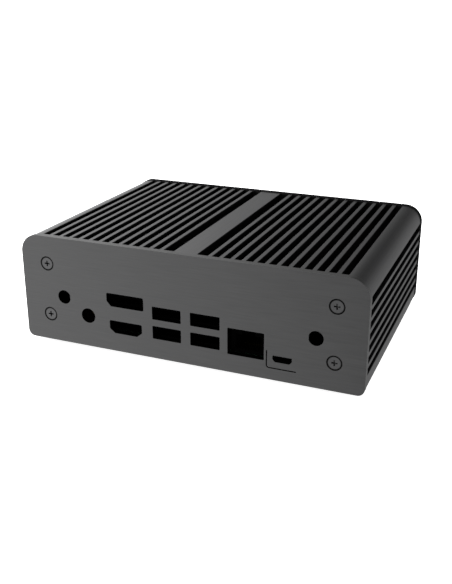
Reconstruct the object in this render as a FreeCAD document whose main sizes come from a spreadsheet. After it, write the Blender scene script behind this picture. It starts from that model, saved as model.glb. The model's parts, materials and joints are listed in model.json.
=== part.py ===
"""Fanless mini PC: a finned aluminium body between two flat panels, with a computer inside.

The frame is in millimetres. The origin is on the surface that the feet stand on, below the
middle of the case. +X is to the right for someone facing the connector panel, +Y runs from the
connector panel to the power button's panel, and +Z is up.

Every size is a cell of the sheet "dims" or is worked out from such cells, and each object's
properties are bound to them by expressions.
"""
import FreeCAD, Part
import math
import os

import Sketcher

doc = FreeCAD.newDocument("mini_pc")

# ------------------------------------------------------------------ driving dimensions
DIMENSIONS = {
    # the case as a whole
    "case_width": 160.0,
    "case_depth": 115.0,
    "case_height": 50.0,
    "foot_height": 2.5,
    # the two end panels
    "panel_thickness": 3.0,
    "panel_lip": 0.3,
    "top_corner_radius": 8.5,
    "bottom_corner_radius": 3.2,
    "panel_screw_across": 67.0,
    "panel_screw_low": 12.7,
    "panel_screw_high": 37.2,
    # the finned body
    "body_bottom": 2.3,
    "rib_half_width": 5.3,
    "first_fin": 11.15,
    "fin_pitch": 5.0,
    "fin_thickness": 1.75,
    "fin_depth": 8.0,
    "fins_per_side": 12,
    "ceiling_thickness": 3.7,
    "groove_first": 7.5,
    "groove_pitch": 5.06,
    "groove_height": 3.2,
    "groove_depth": 6.3,
    "grooves_per_side": 6,
    "shoulder_groove_low": 37.8,
    "shoulder_groove_high": 41.8,
    "inner_half_width": 70.0,
    "boss_radius": 3.6,
    # M3 hardware
    "screw_radius": 1.5,
    "screw_clearance": 0.2,
    "thread_clearance": 0.05,
    "screw_end_gap": 0.2,
    "flat_head_radius": 3.0,
    "flat_head_land": 0.25,
    "flat_head_sink": 0.08,
    "pan_head_radius": 2.75,
    "pan_head_height": 1.8,
    "panel_screw_length": 10.0,
    "cover_screw_length": 6.0,
    "board_screw_length": 5.0,
    "cross_arm": 1.3,
    "cross_half_width": 0.33,
    "cross_depth": 1.15,
    # the bottom cover
    "cover_thickness": 2.0,
    "cover_half_width": 77.0,
    "cover_gap": 0.1,
    "cover_screw_across": 73.0,
    "cover_screw_along": 34.0,
    "cover_thread_floor": 0.8,
    "vesa_small": 75.0,
    "vesa_large": 100.0,
    "vesa_hole_radius": 2.0,
    "foot_across": 64.0,
    "foot_along": 46.0,
    "foot_radius": 6.0,
    "foot_recess": 0.3,
    "foot_bevel": 0.6,
    # the mainboard and what carries it
    "board_size": 101.6,
    "board_thickness": 1.6,
    "board_top": 10.5,
    "board_shift": -1.0,
    "board_front": -53.3,
    "board_hole_across": 46.0,
    "board_hole_front": 21.3,
    "board_hole_back": 3.0,
    "standoff_across_flats": 5.5,
    "standoff_shank_radius": 2.2,
    # connectors on the connector panel: centre across and up, then cut-out width and height
    "port_clearance": 0.3,
    "port_recess": 3.2,
    "port_wall": 0.3,
    "port_tab_width": 1.2,
    "port_tab_inset": 1.0,
    "tongue_recess": 1.5,
    "port_leg_front": 4.0,
    "port_leg_back": 1.0,
    "port_block_inset": 2.0,
    "video_across": -28.0,
    "video_depth": 12.0,
    "video_plug_depth": 3.0,
    "video_tongue_share": 0.72,
    "video_tongue_height": 1.0,
    "video_tongue_lift": 0.3,
    "displayport_up": 24.5,
    "displayport_width": 18.25,
    "displayport_height": 6.2,
    "displayport_bevel_across": 2.05,
    "displayport_bevel_up": 2.3,
    "displayport_bridge": 1.4,
    "displayport_tower": 4.9,
    "hdmi_up": 11.7,
    "hdmi_width": 16.1,
    "hdmi_height": 6.0,
    "hdmi_bevel_across": 2.6,
    "hdmi_bevel_up": 2.05,
    "hdmi_block": 1.2,
    "usb_left_across": -7.85,
    "usb_right_across": 10.25,
    "usb_low_up": 12.4,
    "usb_high_up": 21.5,
    "usb_width": 13.7,
    "usb_height": 6.04,
    "usb_depth": 12.0,
    "usb_stack_length": 17.5,
    "usb_single_length": 14.0,
    "usb_single_floor": 3.0,
    "usb_tongue_width": 11.1,
    "usb_tongue_height": 1.84,
    "usb_tongue_lift": 0.9,
    "lan_across": 28.8,
    "lan_up": 14.45,
    "lan_width": 16.4,
    "lan_height": 12.1,
    "lan_length": 18.8,
    "lan_lip": 0.3,
    "lan_bay_floor": 1.0,
    "lan_bay_depth": 14.0,
    "lan_bay_width": 11.8,
    "lan_bay_height": 6.8,
    "lan_latch_width": 6.0,
    "lan_latch_height": 1.9,
    "lan_contact_pitch": 1.02,
    "lan_contact_width": 0.5,
    "lan_contact_height": 0.6,
    "lan_contact_length": 8.0,
    "lan_contact_count": 8,
    "micro_usb_across": 44.97,
    "micro_usb_up": 9.9,
    "micro_usb_width": 8.5,
    "micro_usb_height": 2.9,
    "micro_usb_bevel_across": 1.1,
    "micro_usb_bevel_up": 1.2,
    "micro_usb_corner_radius": 0.4,
    "micro_usb_clearance": 0.2,
    "micro_usb_relief_width": 11.0,
    "micro_usb_relief_height": 5.0,
    "micro_usb_web": 0.8,
    "micro_usb_length": 7.0,
    "micro_usb_plug_depth": 1.0,
    "micro_usb_tongue_width": 4.6,
    "micro_usb_tongue_height": 0.5,
    "power_in_across": -46.9,
    "power_in_up": 15.0,
    "power_in_radius": 3.5,
    "power_jack_width": 9.0,
    "power_jack_rise": 4.5,
    "power_jack_length": 14.0,
    "power_jack_floor": 3.0,
    "power_jack_bore": 3.0,
    "power_jack_pin": 1.2,
    "antenna_across": 59.0,
    "antenna_up": 22.2,
    "antenna_radius": 3.25,
    "antenna_flat": 3.05,
    "cutout_corner_radius": 0.4,
    "video_corner_radius": 0.75,
    "mark_across": 38.15,
    "mark_top": 13.35,
    "mark_low": 5.5,
    "mark_end": 51.1,
    "mark_width": 0.55,
    "mark_depth": 0.3,
    "mark_corner_radius": 1.2,
    # the power button's panel
    "button_across": -32.0,
    "button_up": 13.5,
    "button_radius": 6.0,
    "button_gap": 0.25,
    "button_sink": 0.3,
    "button_bevel": 0.4,
    "cap_play": 0.1,
    "cap_flange": 1.0,
    "stem_radius": 2.0,
    "stem_play": 0.15,
    "stem_overrun": 0.5,
    "guide_depth": 6.0,
    "guide_web": 1.0,
    "guide_wall": 0.95,
    "guide_ear": 1.5,
    "guide_ear_reach": 2.5,
    "guide_screw_across": 10.5,
    "guide_screw_depth": 2.0,
    "guide_screw_radius": 1.0,
    "guide_head_radius": 1.9,
    "guide_head_height": 1.2,
    "spring_radius": 4.2,
    "spring_wire_radius": 0.3,
    "spring_gap": 0.02,
    "spring_turns": 3,
    "plunger_radius": 1.5,
    "plunger_reach": 2.0,
    "plunger_depth": 2.5,
    "switch_play": 0.1,
    "switch_width": 8.0,
    "switch_rise": 3.5,
    "switch_length": 4.5,
    "switch_floor": 0.5,
    "front_usb_left_across": 0.0,
    "front_usb_right_across": 20.0,
    "front_usb_up": 11.4,
    # the processor and its way to the fins
    "processor_across": -2.0,
    "processor_along": -14.0,
    "package_width": 46.0,
    "package_length": 25.0,
    "package_height": 1.2,
    "die_width": 16.0,
    "die_length": 10.0,
    "die_height": 0.8,
    "pad_height": 0.5,
    "pad_margin": 2.0,
    "block_width": 40.0,
    "block_length": 28.0,
    "flange_width": 64.0,
    "flange_length": 44.0,
    "flange_height": 5.0,
    "flange_screw_across": 28.0,
    "flange_screw_along": 18.0,
    "flange_screw_depth": 2.8,
    # memory
    "memory_across": -13.6,
    "memory_socket_width": 72.8,
    "memory_socket_front": 6.0,
    "memory_socket_length": 6.0,
    "memory_socket_height": 4.0,
    "memory_arm_width": 1.5,
    "memory_arm_length": 22.0,
    "memory_width": 69.6,
    "memory_length": 30.0,
    "memory_thickness": 1.2,
    "memory_lift": 2.1,
    "memory_insertion": 3.0,
    "memory_chip_width": 11.0,
    "memory_chip_length": 13.3,
    "memory_chip_height": 1.1,
    "memory_chip_along": 16.8,
    "memory_notch_along": 18.0,
    "memory_notch_radius": 1.25,
    "memory_chip_pitch": 16.4,
    "memory_chip_count": 4,
    # solid-state drive
    "drive_across": 37.0,
    "drive_socket_front": -16.0,
    "drive_socket_length": 7.0,
    "drive_socket_height": 4.2,
    "drive_width": 22.0,
    "drive_length": 42.0,
    "drive_thickness": 0.8,
    "drive_lift": 1.9,
    "drive_insertion": 3.5,
    "drive_notch_radius": 1.75,
    "drive_post_radius": 2.6,
    "drive_screw_radius": 1.0,
    "drive_head_radius": 2.4,
    "drive_head_height": 0.9,
    "drive_chip_width": 14.0,
    "drive_chip_length": 9.5,
    "drive_chip_height": 1.0,
    "drive_chip_first": 7.0,
    "drive_chip_pitch": 11.5,
    "drive_chip_count": 3,
    # the clock's coin cell
    "cell_across": -38.5,
    "cell_along": -14.0,
    "cell_radius": 10.0,
    "cell_height": 3.2,
    "holder_radius": 11.0,
    "holder_height": 4.2,
    "holder_floor": 0.8,
    # power stage and other chips
    "power_row_along": -32.3,
    "inductor_first": -17.0,
    "inductor_pitch": 8.0,
    "inductor_side": 6.6,
    "inductor_height": 3.0,
    "inductor_count": 4,
    "capacitor_first": -38.0,
    "capacitor_pitch": 6.5,
    "capacitor_radius": 2.5,
    "capacitor_height": 5.8,
    "capacitor_count": 3,
    "chip_height": 1.0,
    "network_chip_across": 32.0,
    "network_chip_along": -26.5,
    "network_chip_side": 9.0,
    "input_chip_across": -43.0,
    "input_chip_along": 2.0,
    "input_chip_side": 6.0,
    "power_chip_across": 23.0,
    "power_chip_along": -17.0,
    "power_chip_side": 3.6,
}


class Size:
    """A length worked out from the sheet: its value, and the expression that stays bound to it."""

    def __init__(self, value, text):
        self.value = value
        self.text = text

    def __add__(self, other):
        other = as_size(other)
        return Size(self.value + other.value, f"({self.text} + {other.text})")

    def __sub__(self, other):
        other = as_size(other)
        return Size(self.value - other.value, f"({self.text} - {other.text})")

    def __mul__(self, factor):
        factor = as_size(factor)
        return Size(self.value * factor.value, f"({self.text} * {factor.text})")

    def __truediv__(self, factor):
        factor = as_size(factor)
        return Size(self.value / factor.value, f"({self.text} / {factor.text})")

    def __neg__(self):
        return Size(-self.value, f"(0 - {self.text})")

    __radd__ = __add__
    __rmul__ = __mul__

    def __rsub__(self, other):
        return as_size(other) - self


def as_size(number):
    """A plain number as a Size; a Size is passed through."""
    if isinstance(number, Size):
        return number
    return Size(float(number), repr(float(number)))


class Dimensions:
    """The sheet's cells, read as dims.case_width and so on."""

    def __init__(self, table):
        self.sheet = doc.addObject("Spreadsheet::Sheet", "dims")
        self.table = table
        for row, (alias, value) in enumerate(table.items(), start=1):
            self.sheet.set(f"A{row}", alias)
            self.sheet.set(f"B{row}", str(value))
            self.sheet.setAlias(f"B{row}", alias)
        doc.recompute()

    def __getattr__(self, alias):
        return Size(float(self.table[alias]), f"dims.{alias}")


dims = Dimensions(DIMENSIONS)
ZERO = as_size(0)

# ------------------------------------------------------------------ levels and planes
# Heights are above the surface that the feet stand on. up() turns a height above the panels'
# bottom edge into one.
def up(height):
    return dims.foot_height + height


HALF_WIDTH = dims.case_width / 2
OUTER_FACE = dims.case_depth / 2                      # the panels' outer faces, from the middle
INNER_FACE = OUTER_FACE - dims.panel_thickness        # the panels' inner faces
PANEL_TOP = up(dims.case_height)
BODY_BOTTOM = up(dims.body_bottom)
BODY_TOP = PANEL_TOP - dims.panel_lip
BODY_HALF_WIDTH = HALF_WIDTH - dims.panel_lip
FIN_FOOT = BODY_TOP - dims.fin_depth
CEILING = FIN_FOOT - dims.ceiling_thickness
COVER_BOTTOM = BODY_BOTTOM - dims.cover_thickness
BOARD_TOP = dims.board_top
BOARD_BOTTOM = BOARD_TOP - dims.board_thickness
BOARD_BACK = dims.board_front + dims.board_size
PORT_MOUTH = dims.port_recess - OUTER_FACE            # where connector mouths end, behind the face
THREAD_RADIUS = dims.screw_radius + dims.thread_clearance
THROUGH_RADIUS = dims.screw_radius + dims.screw_clearance
FLAT_HEAD_HEIGHT = dims.flat_head_radius - dims.screw_radius + dims.flat_head_land

PANEL_SCREWS = [(side * dims.panel_screw_across, up(height))
                for side in (-1, 1) for height in (dims.panel_screw_low, dims.panel_screw_high)]
COVER_SCREWS = [(side * dims.cover_screw_across, end * dims.cover_screw_along)
                for side in (-1, 1) for end in (-1, 1)]
FEET = {"front_left": (-1, -1), "front_right": (1, -1), "back_left": (-1, 1), "back_right": (1, 1)}
BOARD_HOLES = [(dims.board_shift + side * dims.board_hole_across, along) for side in (-1, 1)
               for along in (dims.board_front + dims.board_hole_front, BOARD_BACK - dims.board_hole_back)]
FLANGE_SCREWS = [(dims.processor_across + side * dims.flange_screw_across,
                  dims.processor_along + end * dims.flange_screw_along)
                 for side in (-1, 1) for end in (-1, 1)]

nodes = {}


def keep(node, item):
    """Give a finished sub-part its name, which is also its file's name."""
    item.Label = node
    nodes[node] = item
    return item


# ------------------------------------------------------------------ bound shapes
def place(item, across=ZERO, along=ZERO, height=ZERO, axis=(0, 0, 1), angle=0):
    """Turn an object about an axis through its own origin, then bind where that origin goes."""
    item.Placement = FreeCAD.Placement(FreeCAD.Vector(), FreeCAD.Rotation(FreeCAD.Vector(*axis), angle))
    for letter, length in zip("xyz", (across, along, height)):
        item.setExpression(f"Placement.Base.{letter}", as_size(length).text)
    return item


def box(name, across, along, height):
    """A block that spans three (low, high) pairs."""
    spans = [(as_size(low), as_size(high)) for low, high in (across, along, height)]
    item = doc.addObject("Part::Box", name)
    for side, (low, high) in zip(("Length", "Width", "Height"), spans):
        item.setExpression(side, (high - low).text)
    return place(item, *[low for low, high in spans])


def upright(name, centre, radius, height):
    """A round bar that stands on (low, high)."""
    low, high = as_size(height[0]), as_size(height[1])
    item = doc.addObject("Part::Cylinder", name)
    item.setExpression("Radius", as_size(radius).text)
    item.setExpression("Height", (high - low).text)
    return place(item, centre[0], centre[1], low)


def lengthwise(name, centre, radius, along):
    """A round bar that lies along Y from low to high, with its centre at (across, height)."""
    low, high = as_size(along[0]), as_size(along[1])
    item = doc.addObject("Part::Cylinder", name)
    item.setExpression("Radius", as_size(radius).text)
    item.setExpression("Height", (high - low).text)
    return place(item, centre[0], low, centre[1], axis=(1, 0, 0), angle=-90)


def joined(name, pieces):
    item = doc.addObject("Part::MultiFuse", name)
    item.Shapes = pieces
    return item


def cut(name, base, tools):
    item = doc.addObject("Part::Cut", name)
    item.Base = base
    item.Tool = tools[0] if len(tools) == 1 else joined(name + "_tools", tools)
    return item


def group(name, pieces):
    """Separate solids that share one node."""
    item = doc.addObject("Part::Compound", name)
    item.Links = pieces
    return item


def copies(name, source, places, axis=(0, 0, 1), angle=0):
    """Copies of one sub-part, all turned the same way, at several (across, along, height)."""
    links = []
    for number, where in enumerate(places, start=1):
        link = doc.addObject("App::Link", f"{name}_{number}")
        link.LinkedObject = source
        links.append(place(link, *where, axis=axis, angle=angle))
    return group(name, links)


# ------------------------------------------------------------------ bodies and sketches
# Each pad and pocket runs from its sketch towards +Z (sketches on XY) or +Y (sketches on XZ).
def new_body(name):
    return doc.addObject("PartDesign::Body", name)


def new_sketch(body, plane, level=ZERO):
    """A sketch on one of its body's own planes, moved along the plane's positive axis."""
    origin_plane = next(item for item in body.Origin.OriginFeatures if item.Role == plane)
    sketch = body.newObject("Sketcher::SketchObject", body.Name + "_sketch")
    sketch.AttachmentSupport = (origin_plane, "")
    sketch.MapMode = "FlatFace"
    offset = -as_size(level) if plane == "XZ_Plane" else as_size(level)
    sketch.setExpression("AttachmentOffset.Base.z", offset.text)
    return sketch


def bind_point(sketch, curve, end, point):
    """Fix one point of a curve at bound distances from the sketch's origin."""
    for kind, length in zip(("DistanceX", "DistanceY"), point):
        number = sketch.addConstraint(Sketcher.Constraint(kind, -1, 1, curve, end, length.value))
        sketch.setExpression(f"Constraints[{number}]", length.text)


def polygon(sketch, corners):
    """A closed outline of straight lines through bound corners."""
    corners = [(as_size(first), as_size(second)) for first, second in corners]
    points = [FreeCAD.Vector(first.value, second.value, 0) for first, second in corners]
    lines = [sketch.addGeometry(Part.LineSegment(start, end), False)
             for start, end in zip(points, points[1:] + points[:1])]
    for line, following in zip(lines, lines[1:] + lines[:1]):
        sketch.addConstraint(Sketcher.Constraint("Coincident", line, 2, following, 1))
    for line, corner in zip(lines, corners):
        bind_point(sketch, line, 1, corner)


def rectangle(sketch, first, second):
    """A rectangle that spans two (low, high) pairs."""
    polygon(sketch, [(first[0], second[0]), (first[1], second[0]),
                     (first[1], second[1]), (first[0], second[1])])


def circle(sketch, centre, radius):
    centre = (as_size(centre[0]), as_size(centre[1]))
    radius = as_size(radius)
    middle = FreeCAD.Vector(centre[0].value, centre[1].value, 0)
    ring = sketch.addGeometry(Part.Circle(middle, FreeCAD.Vector(0, 0, 1), radius.value), False)
    number = sketch.addConstraint(Sketcher.Constraint("Radius", ring, radius.value))
    sketch.setExpression(f"Constraints[{number}]", radius.text)
    bind_point(sketch, ring, 3, centre)


def flatted_circle(sketch, centre, radius, flat, side):
    """A round hole with one flat, which lies at a distance from the centre on one side (+1, -1)."""
    half_angle = math.acos(flat.value / radius.value)
    start, end = (half_angle, -half_angle) if side > 0 else (half_angle - math.pi, math.pi - half_angle)
    middle = FreeCAD.Vector(centre[0].value, centre[1].value, 0)
    ring = Part.Circle(middle, FreeCAD.Vector(0, 0, 1), radius.value)
    arc = sketch.addGeometry(Part.ArcOfCircle(ring, start, end), False)
    shape = sketch.Geometry[arc]
    line = sketch.addGeometry(Part.LineSegment(shape.EndPoint, shape.StartPoint), False)
    sketch.addConstraint(Sketcher.Constraint("Coincident", arc, 2, line, 1))
    sketch.addConstraint(Sketcher.Constraint("Coincident", line, 2, arc, 1))
    sketch.addConstraint(Sketcher.Constraint("Vertical", line))
    number = sketch.addConstraint(Sketcher.Constraint("Radius", arc, radius.value))
    sketch.setExpression(f"Constraints[{number}]", radius.text)
    bind_point(sketch, arc, 3, centre)
    edge = centre[0] + side * flat
    number = sketch.addConstraint(Sketcher.Constraint("DistanceX", -1, 1, line, 1, edge.value))
    sketch.setExpression(f"Constraints[{number}]", edge.text)


def on_xz(sketch):
    return sketch.AttachmentSupport[0][0].Role == "XZ_Plane"


def pad(body, sketch, length):
    feature = body.newObject("PartDesign::Pad", body.Name + "_pad")
    feature.Profile = sketch
    feature.setExpression("Length", as_size(length).text)
    feature.Reversed = on_xz(sketch)
    doc.recompute()
    return feature


def pocket(body, sketch, depth=None):
    """Cut a sketch's outlines out of the body, to a depth or right through, and check that it cut."""
    before = body.Shape.Volume
    feature = body.newObject("PartDesign::Pocket", body.Name + "_pocket")
    feature.Profile = sketch
    feature.Reversed = not on_xz(sketch)
    if depth is None:
        feature.Type = "ThroughAll"
    else:
        feature.setExpression("Length", as_size(depth).text)
    doc.recompute()
    if not feature.Shape.Volume < before:
        raise ValueError(f"{feature.Name} cut nothing")
    return feature


def repeat(body, feature, axis, length, count, backwards=False):
    """Repeat a pocket along its own sketch's H_Axis or V_Axis."""
    pattern = body.newObject("PartDesign::LinearPattern", body.Name + "_pattern")
    pattern.Originals = [feature]
    pattern.Direction = (feature.Profile[0], [axis])
    pattern.Reversed = backwards
    pattern.setExpression("Length", length.text)
    pattern.setExpression("Occurrences", count.text)
    body.Tip = pattern
    doc.recompute()
    return pattern


def turn(body, outline):
    """Revolve a half section, given as (radius, height) corners, about the body's Z axis."""
    sketch = new_sketch(body, "XZ_Plane")
    polygon(sketch, outline)
    feature = body.newObject("PartDesign::Revolution", body.Name + "_turned")
    feature.Profile = sketch
    feature.ReferenceAxis = (sketch, ["V_Axis"])
    feature.Angle = 360.0
    doc.recompute()
    return feature


def near(number, size):
    return abs(number - size.value) < 1e-4


def edges_along(shape, direction, corners):
    """Names of the straight edges that run along Y or Z and pass through the given corners."""
    first, second = {"Y": ("x", "z"), "Z": ("x", "y")}[direction]
    names = []
    for number, edge in enumerate(shape.Edges, start=1):
        if len(edge.Vertexes) != 2:
            continue
        start, end = (vertex.Point for vertex in edge.Vertexes)
        for corner in corners:
            if all(near(getattr(point, first), corner[0]) and near(getattr(point, second), corner[1])
                   for point in (start, end)):
                names.append(f"Edge{number}")
    return names


def rims(shape, axis, level, radii):
    """Names of the round edges that lie in one plane across an axis and have one of the radii."""
    names = []
    for number, edge in enumerate(shape.Edges, start=1):
        if isinstance(edge.Curve, Part.Circle) and near(getattr(edge.Curve.Center, axis), level):
            if any(near(edge.Curve.Radius, radius) for radius in radii):
                names.append(f"Edge{number}")
    return names


def fillet(body, edge_names, radius):
    feature = body.newObject("PartDesign::Fillet", body.Name + "_fillet")
    feature.Base = (body.Tip if body.Tip != feature else feature.BaseFeature, edge_names)
    feature.setExpression("Radius", as_size(radius).text)
    doc.recompute()
    return feature


def chamfer(body, edge_names, size):
    feature = body.newObject("PartDesign::Chamfer", body.Name + "_chamfer")
    feature.Base = (body.Tip if body.Tip != feature else feature.BaseFeature, edge_names)
    feature.setExpression("Size", as_size(size).text)
    doc.recompute()
    return feature


# ------------------------------------------------------------------ the case
def heatsink_body():
    """The extrusion: two thick walls and a top, finned outside, with screw channels inside."""
    body = new_body("heatsink_body")
    wall, edge = dims.inner_half_width, BODY_HALF_WIDTH
    section = new_sketch(body, "XZ_Plane", -INNER_FACE)
    polygon(section, [(-edge, BODY_BOTTOM), (-wall, BODY_BOTTOM), (-wall, CEILING), (wall, CEILING),
                      (wall, BODY_BOTTOM), (edge, BODY_BOTTOM), (edge, BODY_TOP), (-edge, BODY_TOP)])
    shell = pad(body, section, INNER_FACE * 2)
    corners = edges_along(shell.Shape, "Y", [(-edge, BODY_TOP), (edge, BODY_TOP)])
    fillet(body, corners, dims.top_corner_radius - dims.panel_lip)

    channels = new_sketch(body, "XZ_Plane", -INNER_FACE)
    for centre in PANEL_SCREWS:
        circle(channels, centre, dims.boss_radius)
    pad(body, channels, INNER_FACE * 2)
    threads = new_sketch(body, "XZ_Plane", -INNER_FACE)
    for centre in PANEL_SCREWS:
        circle(threads, centre, THREAD_RADIUS)
    pocket(body, threads)

    # fin gaps: one wide gap beside the rib, then one gap outside each fin
    gap_start = dims.first_fin + dims.fin_thickness / 2
    gap_width = dims.fin_pitch - dims.fin_thickness
    above = BODY_TOP + dims.panel_lip
    for side in (-1, 1):
        wide = new_sketch(body, "XZ_Plane", -INNER_FACE)
        inner, outer = side * dims.rib_half_width, side * (dims.first_fin - dims.fin_thickness / 2)
        rectangle(wide, (inner, outer), (FIN_FOOT, above))
        pocket(body, wide)
        gap = new_sketch(body, "XZ_Plane", -INNER_FACE)
        rectangle(gap, (side * gap_start, side * (gap_start + gap_width)), (FIN_FOOT, above))
        repeat(body, pocket(body, gap), "H_Axis", (dims.fins_per_side - 1) * dims.fin_pitch,
               dims.fins_per_side, backwards=side < 0)

    # side grooves, and the wider one below each rounded shoulder
    for side in (-1, 1):
        span = (side * (edge - dims.groove_depth), side * HALF_WIDTH)
        shoulder = new_sketch(body, "XZ_Plane", -INNER_FACE)
        rectangle(shoulder, span, (up(dims.shoulder_groove_low), up(dims.shoulder_groove_high)))
        pocket(body, shoulder)
        groove = new_sketch(body, "XZ_Plane", -INNER_FACE)
        low = up(dims.groove_first)
        rectangle(groove, span, (low, low + dims.groove_height))
        repeat(body, pocket(body, groove), "V_Axis", (dims.grooves_per_side - 1) * dims.groove_pitch,
               dims.grooves_per_side)

    # tapped holes: for the cover in the walls' lower edges, for the block in the ceiling
    cover_holes = new_sketch(body, "XY_Plane", BODY_BOTTOM)
    for centre in COVER_SCREWS:
        circle(cover_holes, centre, THREAD_RADIUS)
    pocket(body, cover_holes, dims.groove_first - dims.body_bottom - dims.cover_thread_floor)
    block_holes = new_sketch(body, "XY_Plane", CEILING)
    for centre in FLANGE_SCREWS:
        circle(block_holes, centre, THREAD_RADIUS)
    pocket(body, block_holes, dims.flange_screw_depth)
    return body


def port_outline(across, height, width, tall, bevels=None):
    """Corners of an upright rectangle, from the lower left; bevels gives (across, up) by corner."""
    bevels = bevels or {}
    half, rise = width / 2, tall / 2
    corners = []
    for name, side, end in (("low_left", -1, -1), ("low_right", 1, -1),
                            ("high_right", 1, 1), ("high_left", -1, 1)):
        corner = (across + side * half, height + end * rise)
        if name not in bevels:
            corners.append(corner)
            continue
        run, climb = bevels[name]
        on_level = (corner[0] - side * run, corner[1])
        on_side = (corner[0], corner[1] - end * climb)
        corners += [on_side, on_level] if side == end else [on_level, on_side]
    return corners


def displayport_outline(inset=ZERO):
    bevel = (dims.displayport_bevel_across - inset / 2, dims.displayport_bevel_up - inset / 2)
    return port_outline(dims.video_across, up(dims.displayport_up), dims.displayport_width - inset * 2,
                        dims.displayport_height - inset * 2, {"low_left": bevel})


def hdmi_outline(inset=ZERO):
    bevel = (dims.hdmi_bevel_across - inset / 2, dims.hdmi_bevel_up - inset / 2)
    return port_outline(dims.video_across, up(dims.hdmi_up), dims.hdmi_width - inset * 2,
                        dims.hdmi_height - inset * 2, {"low_left": bevel, "low_right": bevel})


def micro_usb_outline(inset=ZERO):
    bevel = (dims.micro_usb_bevel_across - inset / 2, dims.micro_usb_bevel_up - inset / 2)
    return port_outline(dims.micro_usb_across, up(dims.micro_usb_up), dims.micro_usb_width - inset * 2,
                        dims.micro_usb_height - inset * 2, {"low_left": bevel, "low_right": bevel})


def usb_outline(across, height, inset=ZERO):
    return port_outline(across, up(height), dims.usb_width - inset * 2, dims.usb_height - inset * 2)


def lan_outline(inset=ZERO):
    return port_outline(dims.lan_across, up(dims.lan_up), dims.lan_width - inset * 2,
                        dims.lan_height - inset * 2)


def plain_panel(name):
    """A flat end panel with rounded corners; its outer face is on its own XZ plane."""
    body = new_body(name)
    face = new_sketch(body, "XZ_Plane")
    low, high = dims.foot_height, PANEL_TOP
    rectangle(face, (-HALF_WIDTH, HALF_WIDTH), (low, high))
    plate = pad(body, face, dims.panel_thickness)
    top = edges_along(plate.Shape, "Y", [(-HALF_WIDTH, high), (HALF_WIDTH, high)])
    plate = fillet(body, top, dims.top_corner_radius)
    bottom = edges_along(plate.Shape, "Y", [(-HALF_WIDTH, low), (HALF_WIDTH, low)])
    fillet(body, bottom, dims.bottom_corner_radius)
    return body


def countersink(body, plane_axis, level):
    """Open the screw holes whose rims lie at one level to take flat heads."""
    names = rims(body.Shape, plane_axis, level, [THROUGH_RADIUS])
    chamfer(body, names, dims.flat_head_radius + dims.flat_head_sink * 2 - dims.screw_radius)


def cut_outlines(body, outlines, corner_radius):
    """Cut closed outlines through a panel and round their corners a little."""
    openings = new_sketch(body, "XZ_Plane")
    for outline in outlines:
        polygon(openings, outline)
    through = pocket(body, openings)
    corners = [corner for outline in outlines for corner in outline]
    fillet(body, edges_along(through.Shape, "Y", corners), corner_radius)


def io_panel():
    """The connector panel, with every cut-out, the fine engraved line and its countersinks."""
    body = plain_panel("io_panel")
    usb = [usb_outline(across, height) for across in (dims.usb_left_across, dims.usb_right_across)
           for height in (dims.usb_low_up, dims.usb_high_up)]
    cut_outlines(body, [lan_outline()] + usb, dims.cutout_corner_radius)
    cut_outlines(body, [displayport_outline(), hdmi_outline()], dims.video_corner_radius)

    holes = new_sketch(body, "XZ_Plane")
    circle(holes, (dims.power_in_across, up(dims.power_in_up)), dims.power_in_radius)
    for side in (-1, 1):
        centre = (side * dims.antenna_across, up(dims.antenna_up))
        flatted_circle(holes, centre, dims.antenna_radius, dims.antenna_flat, -side)
    for centre in PANEL_SCREWS:
        circle(holes, centre, THROUGH_RADIUS)
    pocket(body, holes)

    # the smallest port: its hole goes through a web left by a pocket from behind
    cut_outlines(body, [micro_usb_outline()], dims.micro_usb_corner_radius)
    relief = new_sketch(body, "XZ_Plane", dims.micro_usb_web)
    polygon(relief, port_outline(dims.micro_usb_across, up(dims.micro_usb_up),
                                 dims.micro_usb_relief_width, dims.micro_usb_relief_height))
    pocket(body, relief)

    # the engraved line runs down beside that port and turns along below it
    half = dims.mark_width / 2
    line = new_sketch(body, "XZ_Plane")
    inner, outer = dims.mark_across + half, dims.mark_across - half
    over, under = up(dims.mark_low) + half, up(dims.mark_low) - half
    polygon(line, [(outer, up(dims.mark_top)), (outer, under), (dims.mark_end, under),
                   (dims.mark_end, over), (inner, over), (inner, up(dims.mark_top))])
    engraved = pocket(body, line, dims.mark_depth)
    bend = edges_along(engraved.Shape, "Y", [(outer, under)])
    bent = fillet(body, bend, dims.mark_corner_radius + half)
    fillet(body, edges_along(bent.Shape, "Y", [(inner, over)]), dims.mark_corner_radius - half)

    countersink(body, "y", ZERO)
    return place(body, along=-OUTER_FACE)


def front_panel():
    """The power button's panel; it is turned about, so its own X runs against the frame's."""
    body = plain_panel("front_panel")
    usb = [usb_outline(-across, dims.front_usb_up)
           for across in (dims.front_usb_left_across, dims.front_usb_right_across)]
    cut_outlines(body, usb, dims.cutout_corner_radius)
    holes = new_sketch(body, "XZ_Plane")
    circle(holes, (-dims.button_across, up(dims.button_up)), dims.button_radius + dims.button_gap)
    for centre in PANEL_SCREWS:
        circle(holes, centre, THROUGH_RADIUS)
    pocket(body, holes)
    blind = new_sketch(body, "XZ_Plane", dims.panel_thickness - dims.guide_screw_depth)
    for side in (-1, 1):
        centre = (-dims.button_across + side * dims.guide_screw_across, up(dims.button_up))
        circle(blind, centre, dims.guide_screw_radius + dims.thread_clearance)
    pocket(body, blind)
    countersink(body, "y", ZERO)
    return place(body, along=OUTER_FACE, axis=(0, 0, 1), angle=180)


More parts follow.
